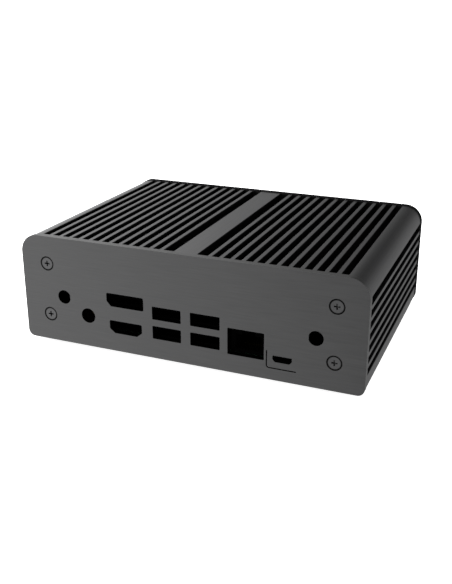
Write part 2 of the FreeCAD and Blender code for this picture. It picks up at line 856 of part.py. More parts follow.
def bottom_cover():
    """The flat plate that closes the body from below and carries the board and the feet."""
    body = new_body("bottom_cover")
    along = INNER_FACE - dims.cover_gap
    outline = new_sketch(body, "XY_Plane", COVER_BOTTOM)
    rectangle(outline, (-dims.cover_half_width, dims.cover_half_width), (-along, along))
    plate = pad(body, outline, dims.cover_thickness)
    corners = [(side * dims.cover_half_width, end * along) for side in (-1, 1) for end in (-1, 1)]
    fillet(body, edges_along(plate.Shape, "Z", corners), dims.bottom_corner_radius)

    holes = new_sketch(body, "XY_Plane", COVER_BOTTOM)
    for centre in COVER_SCREWS:
        circle(holes, centre, THROUGH_RADIUS)
    for centre in BOARD_HOLES:
        circle(holes, centre, dims.standoff_shank_radius)
    for spacing in (dims.vesa_small, dims.vesa_large):
        for side in (-1, 1):
            for end in (-1, 1):
                circle(holes, (side * spacing / 2, end * spacing / 2), dims.vesa_hole_radius)
    pocket(body, holes)
    recesses = new_sketch(body, "XY_Plane", COVER_BOTTOM)
    for side, end in FEET.values():
        circle(recesses, (side * dims.foot_across, end * dims.foot_along), dims.foot_radius)
    pocket(body, recesses, dims.foot_recess)
    countersink(body, "z", COVER_BOTTOM)
    return body


def rubber_foot(name, side, end):
    """A soft round foot with a bevelled sole, stuck into its recess in the cover."""
    body = new_body(name)
    top, rim, bevel = COVER_BOTTOM + dims.foot_recess, dims.foot_radius, dims.foot_bevel
    turn(body, [(0, 0), (rim - bevel, 0), (rim, bevel), (rim, top), (0, top)])
    return place(body, side * dims.foot_across, end * dims.foot_along)


# ------------------------------------------------------------------ screws
def cross_recess(body, level):
    """Cut a cross-shaped driver recess down into a screw head whose top is at a level."""
    arm, half = dims.cross_arm, dims.cross_half_width
    quarter = [(arm, -half), (arm, half), (half, half)]
    corners = []
    for turned in range(4):
        for across, along in quarter:
            for repeat_turn in range(turned):
                across, along = -along, across
            corners.append((across, along))
    sketch = new_sketch(body, "XY_Plane", level - dims.cross_depth)
    polygon(sketch, corners)
    pocket(body, sketch)


def flat_head_screw(name, length):
    """A countersunk M3 screw, head uppermost, with the top of its head at height 0."""
    body = new_body(name)
    head, shank, tip = dims.flat_head_radius, dims.screw_radius, dims.screw_radius / 4
    turn(body, [(0, 0), (head, 0), (head, -dims.flat_head_land), (shank, -FLAT_HEAD_HEIGHT),
                (shank, tip - length), (shank - tip, -length), (0, -length)])
    cross_recess(body, ZERO)
    return body


def pan_head_screw(name, length, shank, head, rise):
    """A pan head screw, head uppermost, with the underside of its head at height 0."""
    body = new_body(name)
    crown, tip = rise / 3, shank / 4
    turn(body, [(0, rise), (head - crown, rise), (head, rise - crown), (head, 0), (shank, 0),
                (shank, tip - length), (shank - tip, -length), (0, -length)])
    return body


def panel_screws():
    """Four flat head screws in each end panel."""
    source = flat_head_screw("panel_screw", dims.panel_screw_length)
    depth = OUTER_FACE - dims.flat_head_sink
    for name, side, angle in (("io_panel_screws", -1, 90), ("front_panel_screws", 1, -90)):
        places = [(across, side * depth, height) for across, height in PANEL_SCREWS]
        keep(name, copies(name, source, places, axis=(1, 0, 0), angle=angle))


def cover_screws():
    source = flat_head_screw("cover_screw", dims.cover_screw_length)
    places = [(across, along, COVER_BOTTOM + dims.flat_head_sink) for across, along in COVER_SCREWS]
    keep("bottom_cover_screws", copies("bottom_cover_screws", source, places, axis=(1, 0, 0), angle=180))


# ------------------------------------------------------------------ the mainboard and its supports
def mainboard():
    body = new_body("mainboard")
    outline = new_sketch(body, "XY_Plane", BOARD_BOTTOM)
    half = dims.board_size / 2
    rectangle(outline, (dims.board_shift - half, dims.board_shift + half), (dims.board_front, BOARD_BACK))
    pad(body, outline, dims.board_thickness)
    holes = new_sketch(body, "XY_Plane", BOARD_BOTTOM)
    for centre in BOARD_HOLES:
        circle(holes, centre, THROUGH_RADIUS)
    pocket(body, holes)
    return body


def board_supports():
    """Four hexagonal standoffs pressed into the cover, and the screws that hold the board on them."""
    body = new_body("board_standoff")
    circumradius = dims.standoff_across_flats / math.sqrt(3)
    hexagon = new_sketch(body, "XY_Plane", dims.cover_thickness)
    polygon(hexagon, [(circumradius * math.cos(math.radians(60 * corner)),
                       circumradius * math.sin(math.radians(60 * corner))) for corner in range(6)])
    pad(body, hexagon, BOARD_BOTTOM - BODY_BOTTOM)
    shank = new_sketch(body, "XY_Plane")
    circle(shank, (ZERO, ZERO), dims.standoff_shank_radius - dims.thread_clearance)
    pad(body, shank, dims.cover_thickness)
    thread = new_sketch(body, "XY_Plane")
    circle(thread, (ZERO, ZERO), THREAD_RADIUS)
    pocket(body, thread)
    places = [(across, along, COVER_BOTTOM) for across, along in BOARD_HOLES]
    keep("board_standoffs", copies("board_standoffs", body, places))

    screw = pan_head_screw("board_screw", dims.board_screw_length, dims.screw_radius,
                           dims.pan_head_radius, dims.pan_head_height)
    cross_recess(screw, dims.pan_head_height)
    places = [(across, along, BOARD_TOP) for across, along in BOARD_HOLES]
    keep("board_screws", copies("board_screws", screw, places))


# ------------------------------------------------------------------ processor and heat path
def about(centre, width):
    """The (low, high) pair of a width about a centre."""
    return centre - width / 2, centre + width / 2


def processor():
    across, along = dims.processor_across, dims.processor_along
    package_top = BOARD_TOP + dims.package_height
    die_top = package_top + dims.die_height
    pad_top = die_top + dims.pad_height
    keep("processor_package", box("processor_package", about(across, dims.package_width),
                                  about(along, dims.package_length), (BOARD_TOP, package_top)))
    keep("processor_die", box("processor_die", about(across, dims.die_width),
                              about(along, dims.die_length), (package_top, die_top)))
    keep("thermal_pad", box("thermal_pad", about(across, dims.die_width + dims.pad_margin),
                            about(along, dims.die_length + dims.pad_margin), (die_top, pad_top)))

    body = new_body("heat_transfer_block")
    column = new_sketch(body, "XY_Plane", pad_top)
    width, length = about(across, dims.block_width), about(along, dims.block_length)
    rectangle(column, width, length)
    post = pad(body, column, CEILING - pad_top)
    corners = [(side, end) for side in width for end in length]
    fillet(body, edges_along(post.Shape, "Z", corners), dims.bottom_corner_radius)
    flange = new_sketch(body, "XY_Plane", CEILING - dims.flange_height)
    width, length = about(across, dims.flange_width), about(along, dims.flange_length)
    rectangle(flange, width, length)
    plate = pad(body, flange, dims.flange_height)
    corners = [(side, end) for side in width for end in length]
    fillet(body, edges_along(plate.Shape, "Z", corners), dims.bottom_corner_radius)
    holes = new_sketch(body, "XY_Plane", CEILING - dims.flange_height)
    for centre in FLANGE_SCREWS:
        circle(holes, centre, THROUGH_RADIUS)
    pocket(body, holes)
    keep("heat_transfer_block", body)

    length = dims.flange_height + dims.flange_screw_depth - dims.screw_end_gap
    screw = pan_head_screw("block_screw", length, dims.screw_radius, dims.pan_head_radius,
                           dims.pan_head_height)
    cross_recess(screw, dims.pan_head_height)
    places = [(*centre, CEILING - dims.flange_height) for centre in FLANGE_SCREWS]
    keep("heat_block_screws", copies("heat_block_screws", screw, places, axis=(1, 0, 0), angle=180))


# ------------------------------------------------------------------ memory and drive
def memory():
    across = dims.memory_across
    front, back = dims.memory_socket_front, dims.memory_socket_front + dims.memory_socket_length
    module_low = BOARD_TOP + dims.memory_lift
    module_high = module_low + dims.memory_thickness
    module_front = back - dims.memory_insertion
    module_span = about(across, dims.memory_width)
    outer = dims.memory_socket_width / 2
    inner = outer - dims.memory_arm_width
    bar = box("memory_socket_bar", about(across, dims.memory_socket_width), (front, back),
              (BOARD_TOP, BOARD_TOP + dims.memory_socket_height))
    arms = [box(f"memory_socket_arm_{name}", span, (front, back + dims.memory_arm_length),
                (BOARD_TOP, module_high))
            for name, span in (("left", (across - outer, across - inner)),
                               ("right", (across + inner, across + outer)))]
    slot = box("memory_slot", module_span, (module_front, back + dims.memory_arm_length),
               (module_low, module_high))
    keep("memory_socket", cut("memory_socket", joined("memory_socket_frame", [bar] + arms), [slot]))

    body = new_body("memory_module")
    outline = new_sketch(body, "XY_Plane", module_low)
    rectangle(outline, module_span, (module_front, module_front + dims.memory_length))
    card = pad(body, outline, dims.memory_thickness)
    notches = new_sketch(body, "XY_Plane", module_low)
    for edge in module_span:
        circle(notches, (edge, module_front + dims.memory_notch_along), dims.memory_notch_radius)
    pocket(body, notches)
    keep("memory_module", body)

    first = across - (dims.memory_chip_count - 1) * dims.memory_chip_pitch / 2
    chip_along = about(module_front + dims.memory_chip_along, dims.memory_chip_length)
    chips = [box(f"memory_chip_{number + 1}",
                 about(first + number * dims.memory_chip_pitch, dims.memory_chip_width), chip_along,
                 (module_high, module_high + dims.memory_chip_height))
             for number in range(DIMENSIONS["memory_chip_count"])]
    keep("memory_chips", group("memory_chips", chips))


def drive():
    """The solid-state drive: a card in an edge socket, held at its far end by one screw."""
    across = dims.drive_across
    front, back = dims.drive_socket_front, dims.drive_socket_front + dims.drive_socket_length
    card_low = BOARD_TOP + dims.drive_lift
    card_high = card_low + dims.drive_thickness
    card_front = back - dims.drive_insertion
    card_back = card_front + dims.drive_length
    socket = box("drive_socket_block", about(across, dims.drive_width), (front, back),
                 (BOARD_TOP, BOARD_TOP + dims.drive_socket_height))
    slot = box("drive_slot", about(across, dims.drive_width), (card_front, back), (card_low, card_high))
    keep("drive_socket", cut("drive_socket", socket, [slot]))

    body = new_body("drive_module")
    outline = new_sketch(body, "XY_Plane", card_low)
    rectangle(outline, about(across, dims.drive_width), (card_front, card_back))
    pad(body, outline, dims.drive_thickness)
    notch = new_sketch(body, "XY_Plane", card_low)
    circle(notch, (across, card_back), dims.drive_notch_radius)
    pocket(body, notch)
    keep("drive_module", body)

    first = back + dims.drive_chip_first
    chips = [box(f"drive_chip_{number + 1}", about(across, dims.drive_chip_width),
                 about(first + dims.drive_chip_pitch * number, dims.drive_chip_length),
                 (card_high, card_high + dims.drive_chip_height))
             for number in range(DIMENSIONS["drive_chip_count"])]
    keep("drive_chips", group("drive_chips", chips))

    post = upright("drive_post", (across, card_back), dims.drive_post_radius, (BOARD_TOP, card_low))
    bore = upright("drive_post_bore", (across, card_back), dims.drive_screw_radius + dims.thread_clearance,
                   (BOARD_TOP, card_low))
    keep("drive_standoff", cut("drive_standoff", post, [bore]))
    length = dims.drive_lift + dims.drive_thickness - dims.screw_end_gap
    screw = pan_head_screw("drive_screw_source", length, dims.drive_screw_radius,
                           dims.drive_head_radius, dims.drive_head_height)
    keep("drive_screw", copies("drive_screw", screw, [(across, card_back, card_high)]))


# ------------------------------------------------------------------ small parts of the board
def coin_cell():
    centre = (dims.cell_across, dims.cell_along)
    floor = BOARD_TOP + dims.holder_floor
    cup = upright("cell_cup", centre, dims.holder_radius, (BOARD_TOP, BOARD_TOP + dims.holder_height))
    well = upright("cell_well", centre, dims.cell_radius + dims.screw_clearance,
                   (floor, BOARD_TOP + dims.holder_height))
    keep("coin_cell_holder", cut("coin_cell_holder", cup, [well]))
    keep("coin_cell", upright("coin_cell", centre, dims.cell_radius, (floor, floor + dims.cell_height)))


def power_stage():
    row, side, first = dims.power_row_along, dims.inductor_side, dims.inductor_first
    inductors = [box(f"inductor_{number + 1}", about(first + number * dims.inductor_pitch, side),
                     about(row, side), (BOARD_TOP, BOARD_TOP + dims.inductor_height))
                 for number in range(DIMENSIONS["inductor_count"])]
    keep("power_inductors", group("power_inductors", inductors))
    capacitors = [upright(f"capacitor_{number + 1}",
                          (dims.capacitor_first + number * dims.capacitor_pitch, row),
                          dims.capacitor_radius, (BOARD_TOP, BOARD_TOP + dims.capacitor_height))
                  for number in range(DIMENSIONS["capacitor_count"])]
    keep("smoothing_capacitors", group("smoothing_capacitors", capacitors))


def controller_chips():
    """The network, input/output and power controllers: the place and side of each."""
    squares = {"network": (dims.network_chip_across, dims.network_chip_along, dims.network_chip_side),
               "input": (dims.input_chip_across, dims.input_chip_along, dims.input_chip_side),
               "power": (dims.power_chip_across, dims.power_chip_along, dims.power_chip_side)}
    chips = [box(f"{name}_controller", about(across, side), about(along, side),
                 (BOARD_TOP, BOARD_TOP + dims.chip_height))
             for name, (across, along, side) in squares.items()]
    keep("controller_chips", group("controller_chips", chips))


# ------------------------------------------------------------------ connectors
def tabs(name, across, width, along, low):
    """Two solder tabs that carry a raised shell on the board."""
    reach = width / 2 - dims.port_tab_inset
    return [box(f"{name}_tab_{number}", about(across + side * reach, dims.port_tab_width), along,
                (BOARD_TOP, low)) for number, side in ((1, -1), (2, 1))]


def tube(name, outline_at, inset, mouth, back):
    """A thin metal sleeve whose section follows a cut-out: outline_at(inset) gives its corners."""
    body = new_body(name)
    outer = new_sketch(body, "XZ_Plane", mouth)
    polygon(outer, outline_at(inset))
    pad(body, outer, back - mouth)
    inner = new_sketch(body, "XZ_Plane", mouth)
    polygon(inner, outline_at(inset + dims.port_wall))
    pocket(body, inner)
    return body


def video_plug(name, outline_at, width, height, back):
    """The moulding inside a display connector: a solid end that closes the sleeve, and a tongue."""
    plug = new_body(f"{name}_plug")
    section = new_sketch(plug, "XZ_Plane", back - dims.video_plug_depth)
    polygon(section, outline_at(dims.port_clearance + dims.port_wall))
    pad(plug, section, dims.video_plug_depth)
    tongue = box(f"{name}_tongue", about(dims.video_across, width * dims.video_tongue_share),
                 (PORT_MOUTH + dims.tongue_recess, back - dims.video_plug_depth),
                 about(height + dims.video_tongue_lift, dims.video_tongue_height))
    return [plug, tongue]


def hdmi_port():
    """The lower display connector, on two tabs and a moulded block."""
    across, height, inset = dims.video_across, up(dims.hdmi_up), dims.port_clearance
    back = PORT_MOUTH + dims.video_depth
    low, top = height - dims.hdmi_height / 2 + inset, height + dims.hdmi_height / 2 - inset
    sleeve = tube("hdmi_sleeve", hdmi_outline, inset, PORT_MOUTH, back)
    legs = tabs("hdmi", across, dims.hdmi_width - dims.hdmi_bevel_across * 2,
                (PORT_MOUTH + dims.port_leg_front, back - dims.port_leg_back), low)
    keep("hdmi_shell", joined("hdmi_metal", [sleeve] + legs))
    block = box("hdmi_block", about(across, dims.hdmi_width - dims.port_block_inset),
                (back, back + dims.hdmi_block), (BOARD_TOP, top))
    plug = video_plug("hdmi", hdmi_outline, dims.hdmi_width, height, back)
    keep("hdmi_insert", joined("hdmi_moulding", plug + [block]))


def displayport():
    """The upper display connector; its moulding reaches down behind the lower one to the board."""
    across, height, inset = dims.video_across, up(dims.displayport_up), dims.port_clearance
    back = PORT_MOUTH + dims.video_depth
    low, top = height - dims.displayport_height / 2 + inset, height + dims.displayport_height / 2 - inset
    keep("displayport_shell", tube("displayport_sleeve", displayport_outline, inset, PORT_MOUTH, back))
    tower_front = back + dims.displayport_bridge
    bridge = box("displayport_bridge", about(across, dims.displayport_width - dims.port_block_inset),
                 (back, tower_front), (low, top))
    tower = box("displayport_tower", about(across, dims.displayport_width - inset * 2),
                (tower_front, tower_front + dims.displayport_tower), (BOARD_TOP, top))
    plug = video_plug("displayport", displayport_outline, dims.displayport_width, height, back)
    keep("displayport_insert", joined("displayport_moulding", plug + [bridge, tower]))


def usb_tongue(name, across, height, along):
    return box(name, about(across, dims.usb_tongue_width), along,
               about(height + dims.usb_tongue_lift, dims.usb_tongue_height))


def usb_stack(name, across):
    """Two USB-A ports in one can, whose mouths end just behind the panel's cut-outs."""
    inset, wall = dims.port_clearance, dims.port_wall
    back = PORT_MOUTH + dims.usb_stack_length
    bay_back = PORT_MOUTH + dims.usb_depth
    top = up(dims.usb_high_up) + dims.usb_height / 2
    levels = (dims.usb_low_up, dims.usb_high_up)
    body = new_body(f"{name}_can")
    can = new_sketch(body, "XZ_Plane", PORT_MOUTH)
    rectangle(can, about(across, dims.usb_width - inset * 2), (BOARD_TOP, top))
    pad(body, can, back - PORT_MOUTH)
    bays = new_sketch(body, "XZ_Plane", PORT_MOUTH)
    for height in levels:
        polygon(bays, usb_outline(across, height, inset + wall))
    pocket(body, bays, bay_back - PORT_MOUTH)
    cavity = new_sketch(body, "XZ_Plane", bay_back)
    inner_width = about(across, dims.usb_width - (inset + wall) * 2)
    rectangle(cavity, inner_width, (BOARD_TOP, top - wall))
    pocket(body, cavity)
    keep(f"{name}_shell", body)
    block = box(f"{name}_block", inner_width, (bay_back, back), (BOARD_TOP, top - wall))
    tongues = [usb_tongue(f"{name}_tongue_{number}", across, up(height),
                          (PORT_MOUTH + dims.tongue_recess, bay_back))
               for number, height in enumerate(levels, start=1)]
    keep(f"{name}_inserts", joined(f"{name}_mouldings", [block] + tongues))


def front_usb(name, across):
    """One USB-A port on the far edge of the board, facing the power button's panel."""
    inset, wall = dims.port_clearance, dims.port_wall
    mouth = -PORT_MOUTH
    back = mouth - dims.usb_single_length
    height = up(dims.front_usb_up)
    half_height = dims.usb_height / 2 - inset
    sleeve = tube(f"{name}_sleeve", lambda gap: usb_outline(across, dims.front_usb_up, gap), inset,
                  back, mouth)
    legs = tabs(name, across, dims.usb_width - dims.port_block_inset,
                (back + dims.port_leg_back, BOARD_BACK - dims.port_leg_back), height - half_height)
    keep(f"{name}_shell", joined(f"{name}_metal", [sleeve] + legs))
    floor = back + dims.usb_single_floor
    block = box(f"{name}_block", about(across, dims.usb_width - (inset + wall) * 2), (back, floor),
                (height - half_height + wall, height + half_height - wall))
    tongue = usb_tongue(f"{name}_tongue", across, height, (floor, mouth - dims.tongue_recess))
    keep(f"{name}_insert", joined(f"{name}_moulding", [block, tongue]))


def lan_port():
    """The network socket: a metal shield round a moulded body with a stepped bay and contacts."""
    inset, wall = dims.port_clearance, dims.port_wall
    across, height = dims.lan_across, up(dims.lan_up)
    back = PORT_MOUTH + dims.lan_length
    low = height - dims.lan_height / 2 + inset
    sleeve = tube("lan_sleeve", lan_outline, inset, PORT_MOUTH, back)
    legs = tabs("lan", across, dims.lan_width - dims.port_block_inset,
                (PORT_MOUTH + dims.port_leg_front, back - dims.port_leg_back), low)
    keep("lan_jack_shell", joined("lan_metal", [sleeve] + legs))

    front, bay_back = PORT_MOUTH + dims.lan_lip, PORT_MOUTH + dims.lan_bay_depth
    bay_low = low + wall + dims.lan_bay_floor
    shelf, latch_top = bay_low + dims.lan_bay_height, bay_low + dims.lan_bay_height + dims.lan_latch_height
    half, latch = dims.lan_bay_width / 2, dims.lan_latch_width / 2
    body = new_body("lan_jack_moulding")
    section = new_sketch(body, "XZ_Plane", front)
    polygon(section, lan_outline(inset + wall))
    pad(body, section, back - front)
    bay = new_sketch(body, "XZ_Plane", front)
    polygon(bay, [(across - half, bay_low), (across + half, bay_low), (across + half, shelf),
                  (across + latch, shelf), (across + latch, latch_top), (across - latch, latch_top),
                  (across - latch, shelf), (across - half, shelf)])
    pocket(body, bay, bay_back - front)
    keep("lan_jack_housing", body)

    count, pitch = DIMENSIONS["lan_contact_count"], dims.lan_contact_pitch
    first = across - pitch * (count - 1) / 2
    contacts = [box(f"lan_contact_{number + 1}", about(first + pitch * number, dims.lan_contact_width),
                    (bay_back - dims.lan_contact_length, bay_back),
                    (bay_low, bay_low + dims.lan_contact_height)) for number in range(count)]
    keep("lan_jack_contacts", group("lan_jack_contacts", contacts))


def micro_usb_port():
    """The smallest connector, close behind the web of its cut-out."""
    across, height, inset = dims.micro_usb_across, up(dims.micro_usb_up), dims.micro_usb_clearance
    mouth = dims.micro_usb_web + dims.cover_gap - OUTER_FACE
    back = mouth + dims.micro_usb_length
    floor = back - dims.micro_usb_plug_depth
    low = height - dims.micro_usb_height / 2 + inset
    sleeve = tube("micro_usb_sleeve", micro_usb_outline, inset, mouth, back)
    legs = tabs("micro_usb", across, dims.micro_usb_width - dims.micro_usb_bevel_across * 2,
                (mouth + dims.port_leg_front, back - dims.port_leg_back), low)
    keep("micro_usb_shell", joined("micro_usb_metal", [sleeve] + legs))
    plug = new_body("micro_usb_plug")
    section = new_sketch(plug, "XZ_Plane", floor)
    polygon(section, micro_usb_outline(inset + dims.port_wall))
    pad(plug, section, dims.micro_usb_plug_depth)
    tongue = box("micro_usb_tongue", about(across, dims.micro_usb_tongue_width),
                 (mouth + dims.tongue_recess, floor), about(height, dims.micro_usb_tongue_height))
    keep("micro_usb_insert", joined("micro_usb_moulding", [plug, tongue]))


def power_inlet():
    """The round power socket behind its hole, with its centre pin."""
    across, height = dims.power_in_across, up(dims.power_in_up)
    back = PORT_MOUTH + dims.power_jack_length
    floor = back - dims.power_jack_floor
    case = box("dc_jack_block", about(across, dims.power_jack_width), (PORT_MOUTH, back),
               (BOARD_TOP, height + dims.power_jack_rise))
    bore = lengthwise("dc_jack_bore", (across, height), dims.power_jack_bore, (PORT_MOUTH, floor))
    keep("dc_jack_housing", cut("dc_jack_housing", case, [bore]))
    keep("dc_jack_pin", lengthwise("dc_jack_pin", (across, height), dims.power_jack_pin,
                                   (PORT_MOUTH + dims.tongue_recess, floor)))


# ------------------------------------------------------------------ power button
# Depths are along Y. The cap's flange stops behind the panel, and the guide carries the rest.
BUTTON_FACE = OUTER_FACE - dims.button_sink
CAP_SHOULDER = INNER_FACE - dims.cap_play
CAP_BACK = CAP_SHOULDER - dims.cap_flange
CAP_FLANGE_RADIUS = dims.button_radius + dims.cap_flange
GUIDE_BACK = INNER_FACE - dims.guide_depth
GUIDE_FLOOR = GUIDE_BACK + dims.guide_web
GUIDE_BORE = CAP_FLANGE_RADIUS + dims.button_gap
EAR_BACK = INNER_FACE - dims.guide_ear
STEM_END = GUIDE_BACK - dims.stem_overrun
SWITCH_FACE = STEM_END - dims.plunger_reach
SWITCH_BACK = SWITCH_FACE - dims.switch_length


def along_y(body):
    """Lay a turned piece along Y, its own Z towards +Y, on the button's axis."""
    return place(body, dims.button_across, ZERO, up(dims.button_up), axis=(1, 0, 0), angle=-90)


def button_cap():
    """The cap: a face in the panel's hole, a flange behind it and a stem that reaches the switch."""
    body = new_body("power_button_cap")
    rim, stem, bevel = dims.button_radius, dims.stem_radius, dims.button_bevel
    turn(body, [(0, STEM_END), (stem, STEM_END), (stem, CAP_BACK), (CAP_FLANGE_RADIUS, CAP_BACK),
                (CAP_FLANGE_RADIUS, CAP_SHOULDER), (rim, CAP_SHOULDER), (rim, BUTTON_FACE - bevel),
                (rim - bevel, BUTTON_FACE), (0, BUTTON_FACE)])
    keep("power_button_cap", along_y(body))


def button_guide():
    """The cup that the cap slides in, with two ears, and the screws that hold it to the panel."""
    body = new_body("power_button_guide")
    web_bore = dims.stem_radius + dims.stem_play
    outside = GUIDE_BORE + dims.guide_wall
    turn(body, [(web_bore, GUIDE_BACK), (outside, GUIDE_BACK), (outside, INNER_FACE),
                (GUIDE_BORE, INNER_FACE), (GUIDE_BORE, GUIDE_FLOOR), (web_bore, GUIDE_FLOOR)])
    ears = new_sketch(body, "XY_Plane", EAR_BACK)
    reach = dims.guide_screw_across + dims.guide_ear_reach
    rectangle(ears, (-reach, reach), (-dims.guide_ear_reach, dims.guide_ear_reach))
    circle(ears, (ZERO, ZERO), GUIDE_BORE)
    pad(body, ears, dims.guide_ear)
    holes = new_sketch(body, "XY_Plane", EAR_BACK)
    for side in (-1, 1):
        circle(holes, (side * dims.guide_screw_across, ZERO), dims.guide_screw_radius + dims.stem_play)
    pocket(body, holes)
    keep("power_button_guide", along_y(body))

    length = dims.guide_ear + dims.guide_screw_depth - dims.screw_end_gap
    screw = pan_head_screw("guide_screw", length, dims.guide_screw_radius, dims.guide_head_radius,
                           dims.guide_head_height)
    places = [(dims.button_across + side * dims.guide_screw_across, EAR_BACK, up(dims.button_up))
              for side in (-1, 1)]
    keep("power_button_guide_screws", copies("power_button_guide_screws", screw, places,
                                             axis=(1, 0, 0), angle=90))


def button_spring():
    """A coil spring between the guide's floor and the cap's flange."""
    body = new_body("power_button_spring")
    wire, gap = dims.spring_wire_radius, dims.spring_gap
    profile = new_sketch(body, "XZ_Plane")
    circle(profile, (dims.spring_radius, GUIDE_FLOOR + wire + gap), wire)
    coil = body.newObject("PartDesign::AdditiveHelix", "power_button_spring_coil")
    coil.Profile = profile
    coil.ReferenceAxis = (profile, ["V_Axis"])
    coil.Mode = "height-turns-growth"
    coil.setExpression("Height", (CAP_BACK - GUIDE_FLOOR - (wire + gap) * 2).text)
    coil.setExpression("Turns", dims.spring_turns.text)
    doc.recompute()
    keep("power_button_spring", along_y(body))


def button_switch():
    """The switch on the board's far edge, and its plunger, which touches the cap's stem."""
    across, height = dims.button_across, up(dims.button_up)
    case = box("power_switch_case", about(across, dims.switch_width), (SWITCH_BACK, SWITCH_FACE),
               (BOARD_TOP, height + dims.switch_rise))
    bore = lengthwise("power_switch_bore", (across, height), dims.plunger_radius + dims.switch_play,
                      (SWITCH_BACK + dims.switch_floor, SWITCH_FACE))
    keep("power_switch", cut("power_switch", case, [bore]))
    keep("power_switch_plunger", lengthwise("power_switch_plunger", (across, height), dims.plunger_radius,
                                            (SWITCH_FACE - dims.plunger_depth, STEM_END)))


# ------------------------------------------------------------------ build, check and write
keep("heatsink_body", heatsink_body())
keep("io_panel", io_panel())
keep("front_panel", front_panel())
keep("bottom_cover", bottom_cover())
for corner, (side, end) in FEET.items():
    keep(f"rubber_foot_{corner}", rubber_foot(f"rubber_foot_{corner}", side, end))
panel_screws()
cover_screws()
keep("mainboard", mainboard())
board_supports()
processor()
memory()
drive()
coin_cell()
power_stage()
controller_chips()
hdmi_port()
displayport()
usb_stack("usb_stack_left", dims.usb_left_across)
usb_stack("usb_stack_right", dims.usb_right_across)
front_usb("front_usb_left", dims.front_usb_left_across)
front_usb("front_usb_right", dims.front_usb_right_across)
lan_port()
micro_usb_port()
power_inlet()
button_cap()
button_guide()
button_spring()
button_switch()
doc.recompute()

for item in doc.Objects:
    if "Invalid" in item.State or "Error" in item.State:
        raise ValueError(f"{item.Name} did not compute: {item.State}")
for node, item in nodes.items():
    if item.Shape.isNull() or not item.Shape.isValid() or not item.Shape.Solids:
        raise ValueError(f"{node} has no valid solid")

os.makedirs("parts", exist_ok=True)
for node, item in nodes.items():
    item.Shape.exportStep(f"parts/{node}.step")
print(len(nodes), "nodes")
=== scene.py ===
"""Looks for the fanless mini PC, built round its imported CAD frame.

Everything is in metres, in the frame's own axes: X across, Y from the connector panel to the power
button's panel, Z up from the surface that the feet stand on.
"""

import json
import math

import bpy
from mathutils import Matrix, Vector


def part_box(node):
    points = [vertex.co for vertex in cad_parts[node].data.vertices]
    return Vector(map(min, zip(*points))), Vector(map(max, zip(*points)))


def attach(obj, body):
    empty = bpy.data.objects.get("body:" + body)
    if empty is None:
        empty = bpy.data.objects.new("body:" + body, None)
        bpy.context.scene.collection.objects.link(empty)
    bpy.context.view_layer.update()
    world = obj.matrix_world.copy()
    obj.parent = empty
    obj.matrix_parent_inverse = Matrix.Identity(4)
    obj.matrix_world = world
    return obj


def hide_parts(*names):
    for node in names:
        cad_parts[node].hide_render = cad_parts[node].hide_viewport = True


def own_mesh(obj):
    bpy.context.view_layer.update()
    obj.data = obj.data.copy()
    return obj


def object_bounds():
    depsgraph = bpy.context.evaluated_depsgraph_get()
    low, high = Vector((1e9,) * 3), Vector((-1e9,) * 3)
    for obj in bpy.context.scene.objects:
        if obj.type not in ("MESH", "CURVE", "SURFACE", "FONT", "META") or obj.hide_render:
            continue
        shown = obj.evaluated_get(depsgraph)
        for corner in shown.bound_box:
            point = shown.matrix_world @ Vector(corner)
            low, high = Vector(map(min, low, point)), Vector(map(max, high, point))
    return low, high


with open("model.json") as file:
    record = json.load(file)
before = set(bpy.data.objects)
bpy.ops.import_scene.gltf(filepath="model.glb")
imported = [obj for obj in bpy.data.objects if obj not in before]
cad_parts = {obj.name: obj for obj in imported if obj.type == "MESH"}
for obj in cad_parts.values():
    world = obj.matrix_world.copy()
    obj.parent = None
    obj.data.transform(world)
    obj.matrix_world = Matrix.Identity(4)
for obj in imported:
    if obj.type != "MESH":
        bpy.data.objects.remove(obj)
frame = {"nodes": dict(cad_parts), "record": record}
NODES = frame["nodes"]
MM = 0.001
AXES = "XYZ"
WHITE = (1.0, 1.0, 1.0, 1.0)


def corners(bounds):
    return [list(bounds[0]), list(bounds[1])]


cad_box = corners(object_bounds())
CASE_LOW, CASE_HIGH = (Vector(corner) for corner in cad_box)
PANEL_LOW, PANEL_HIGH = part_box("io_panel")
BODY_LOW, BODY_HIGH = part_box("heatsink_body")
SHOULDER_RADIUS = 8.2 * MM


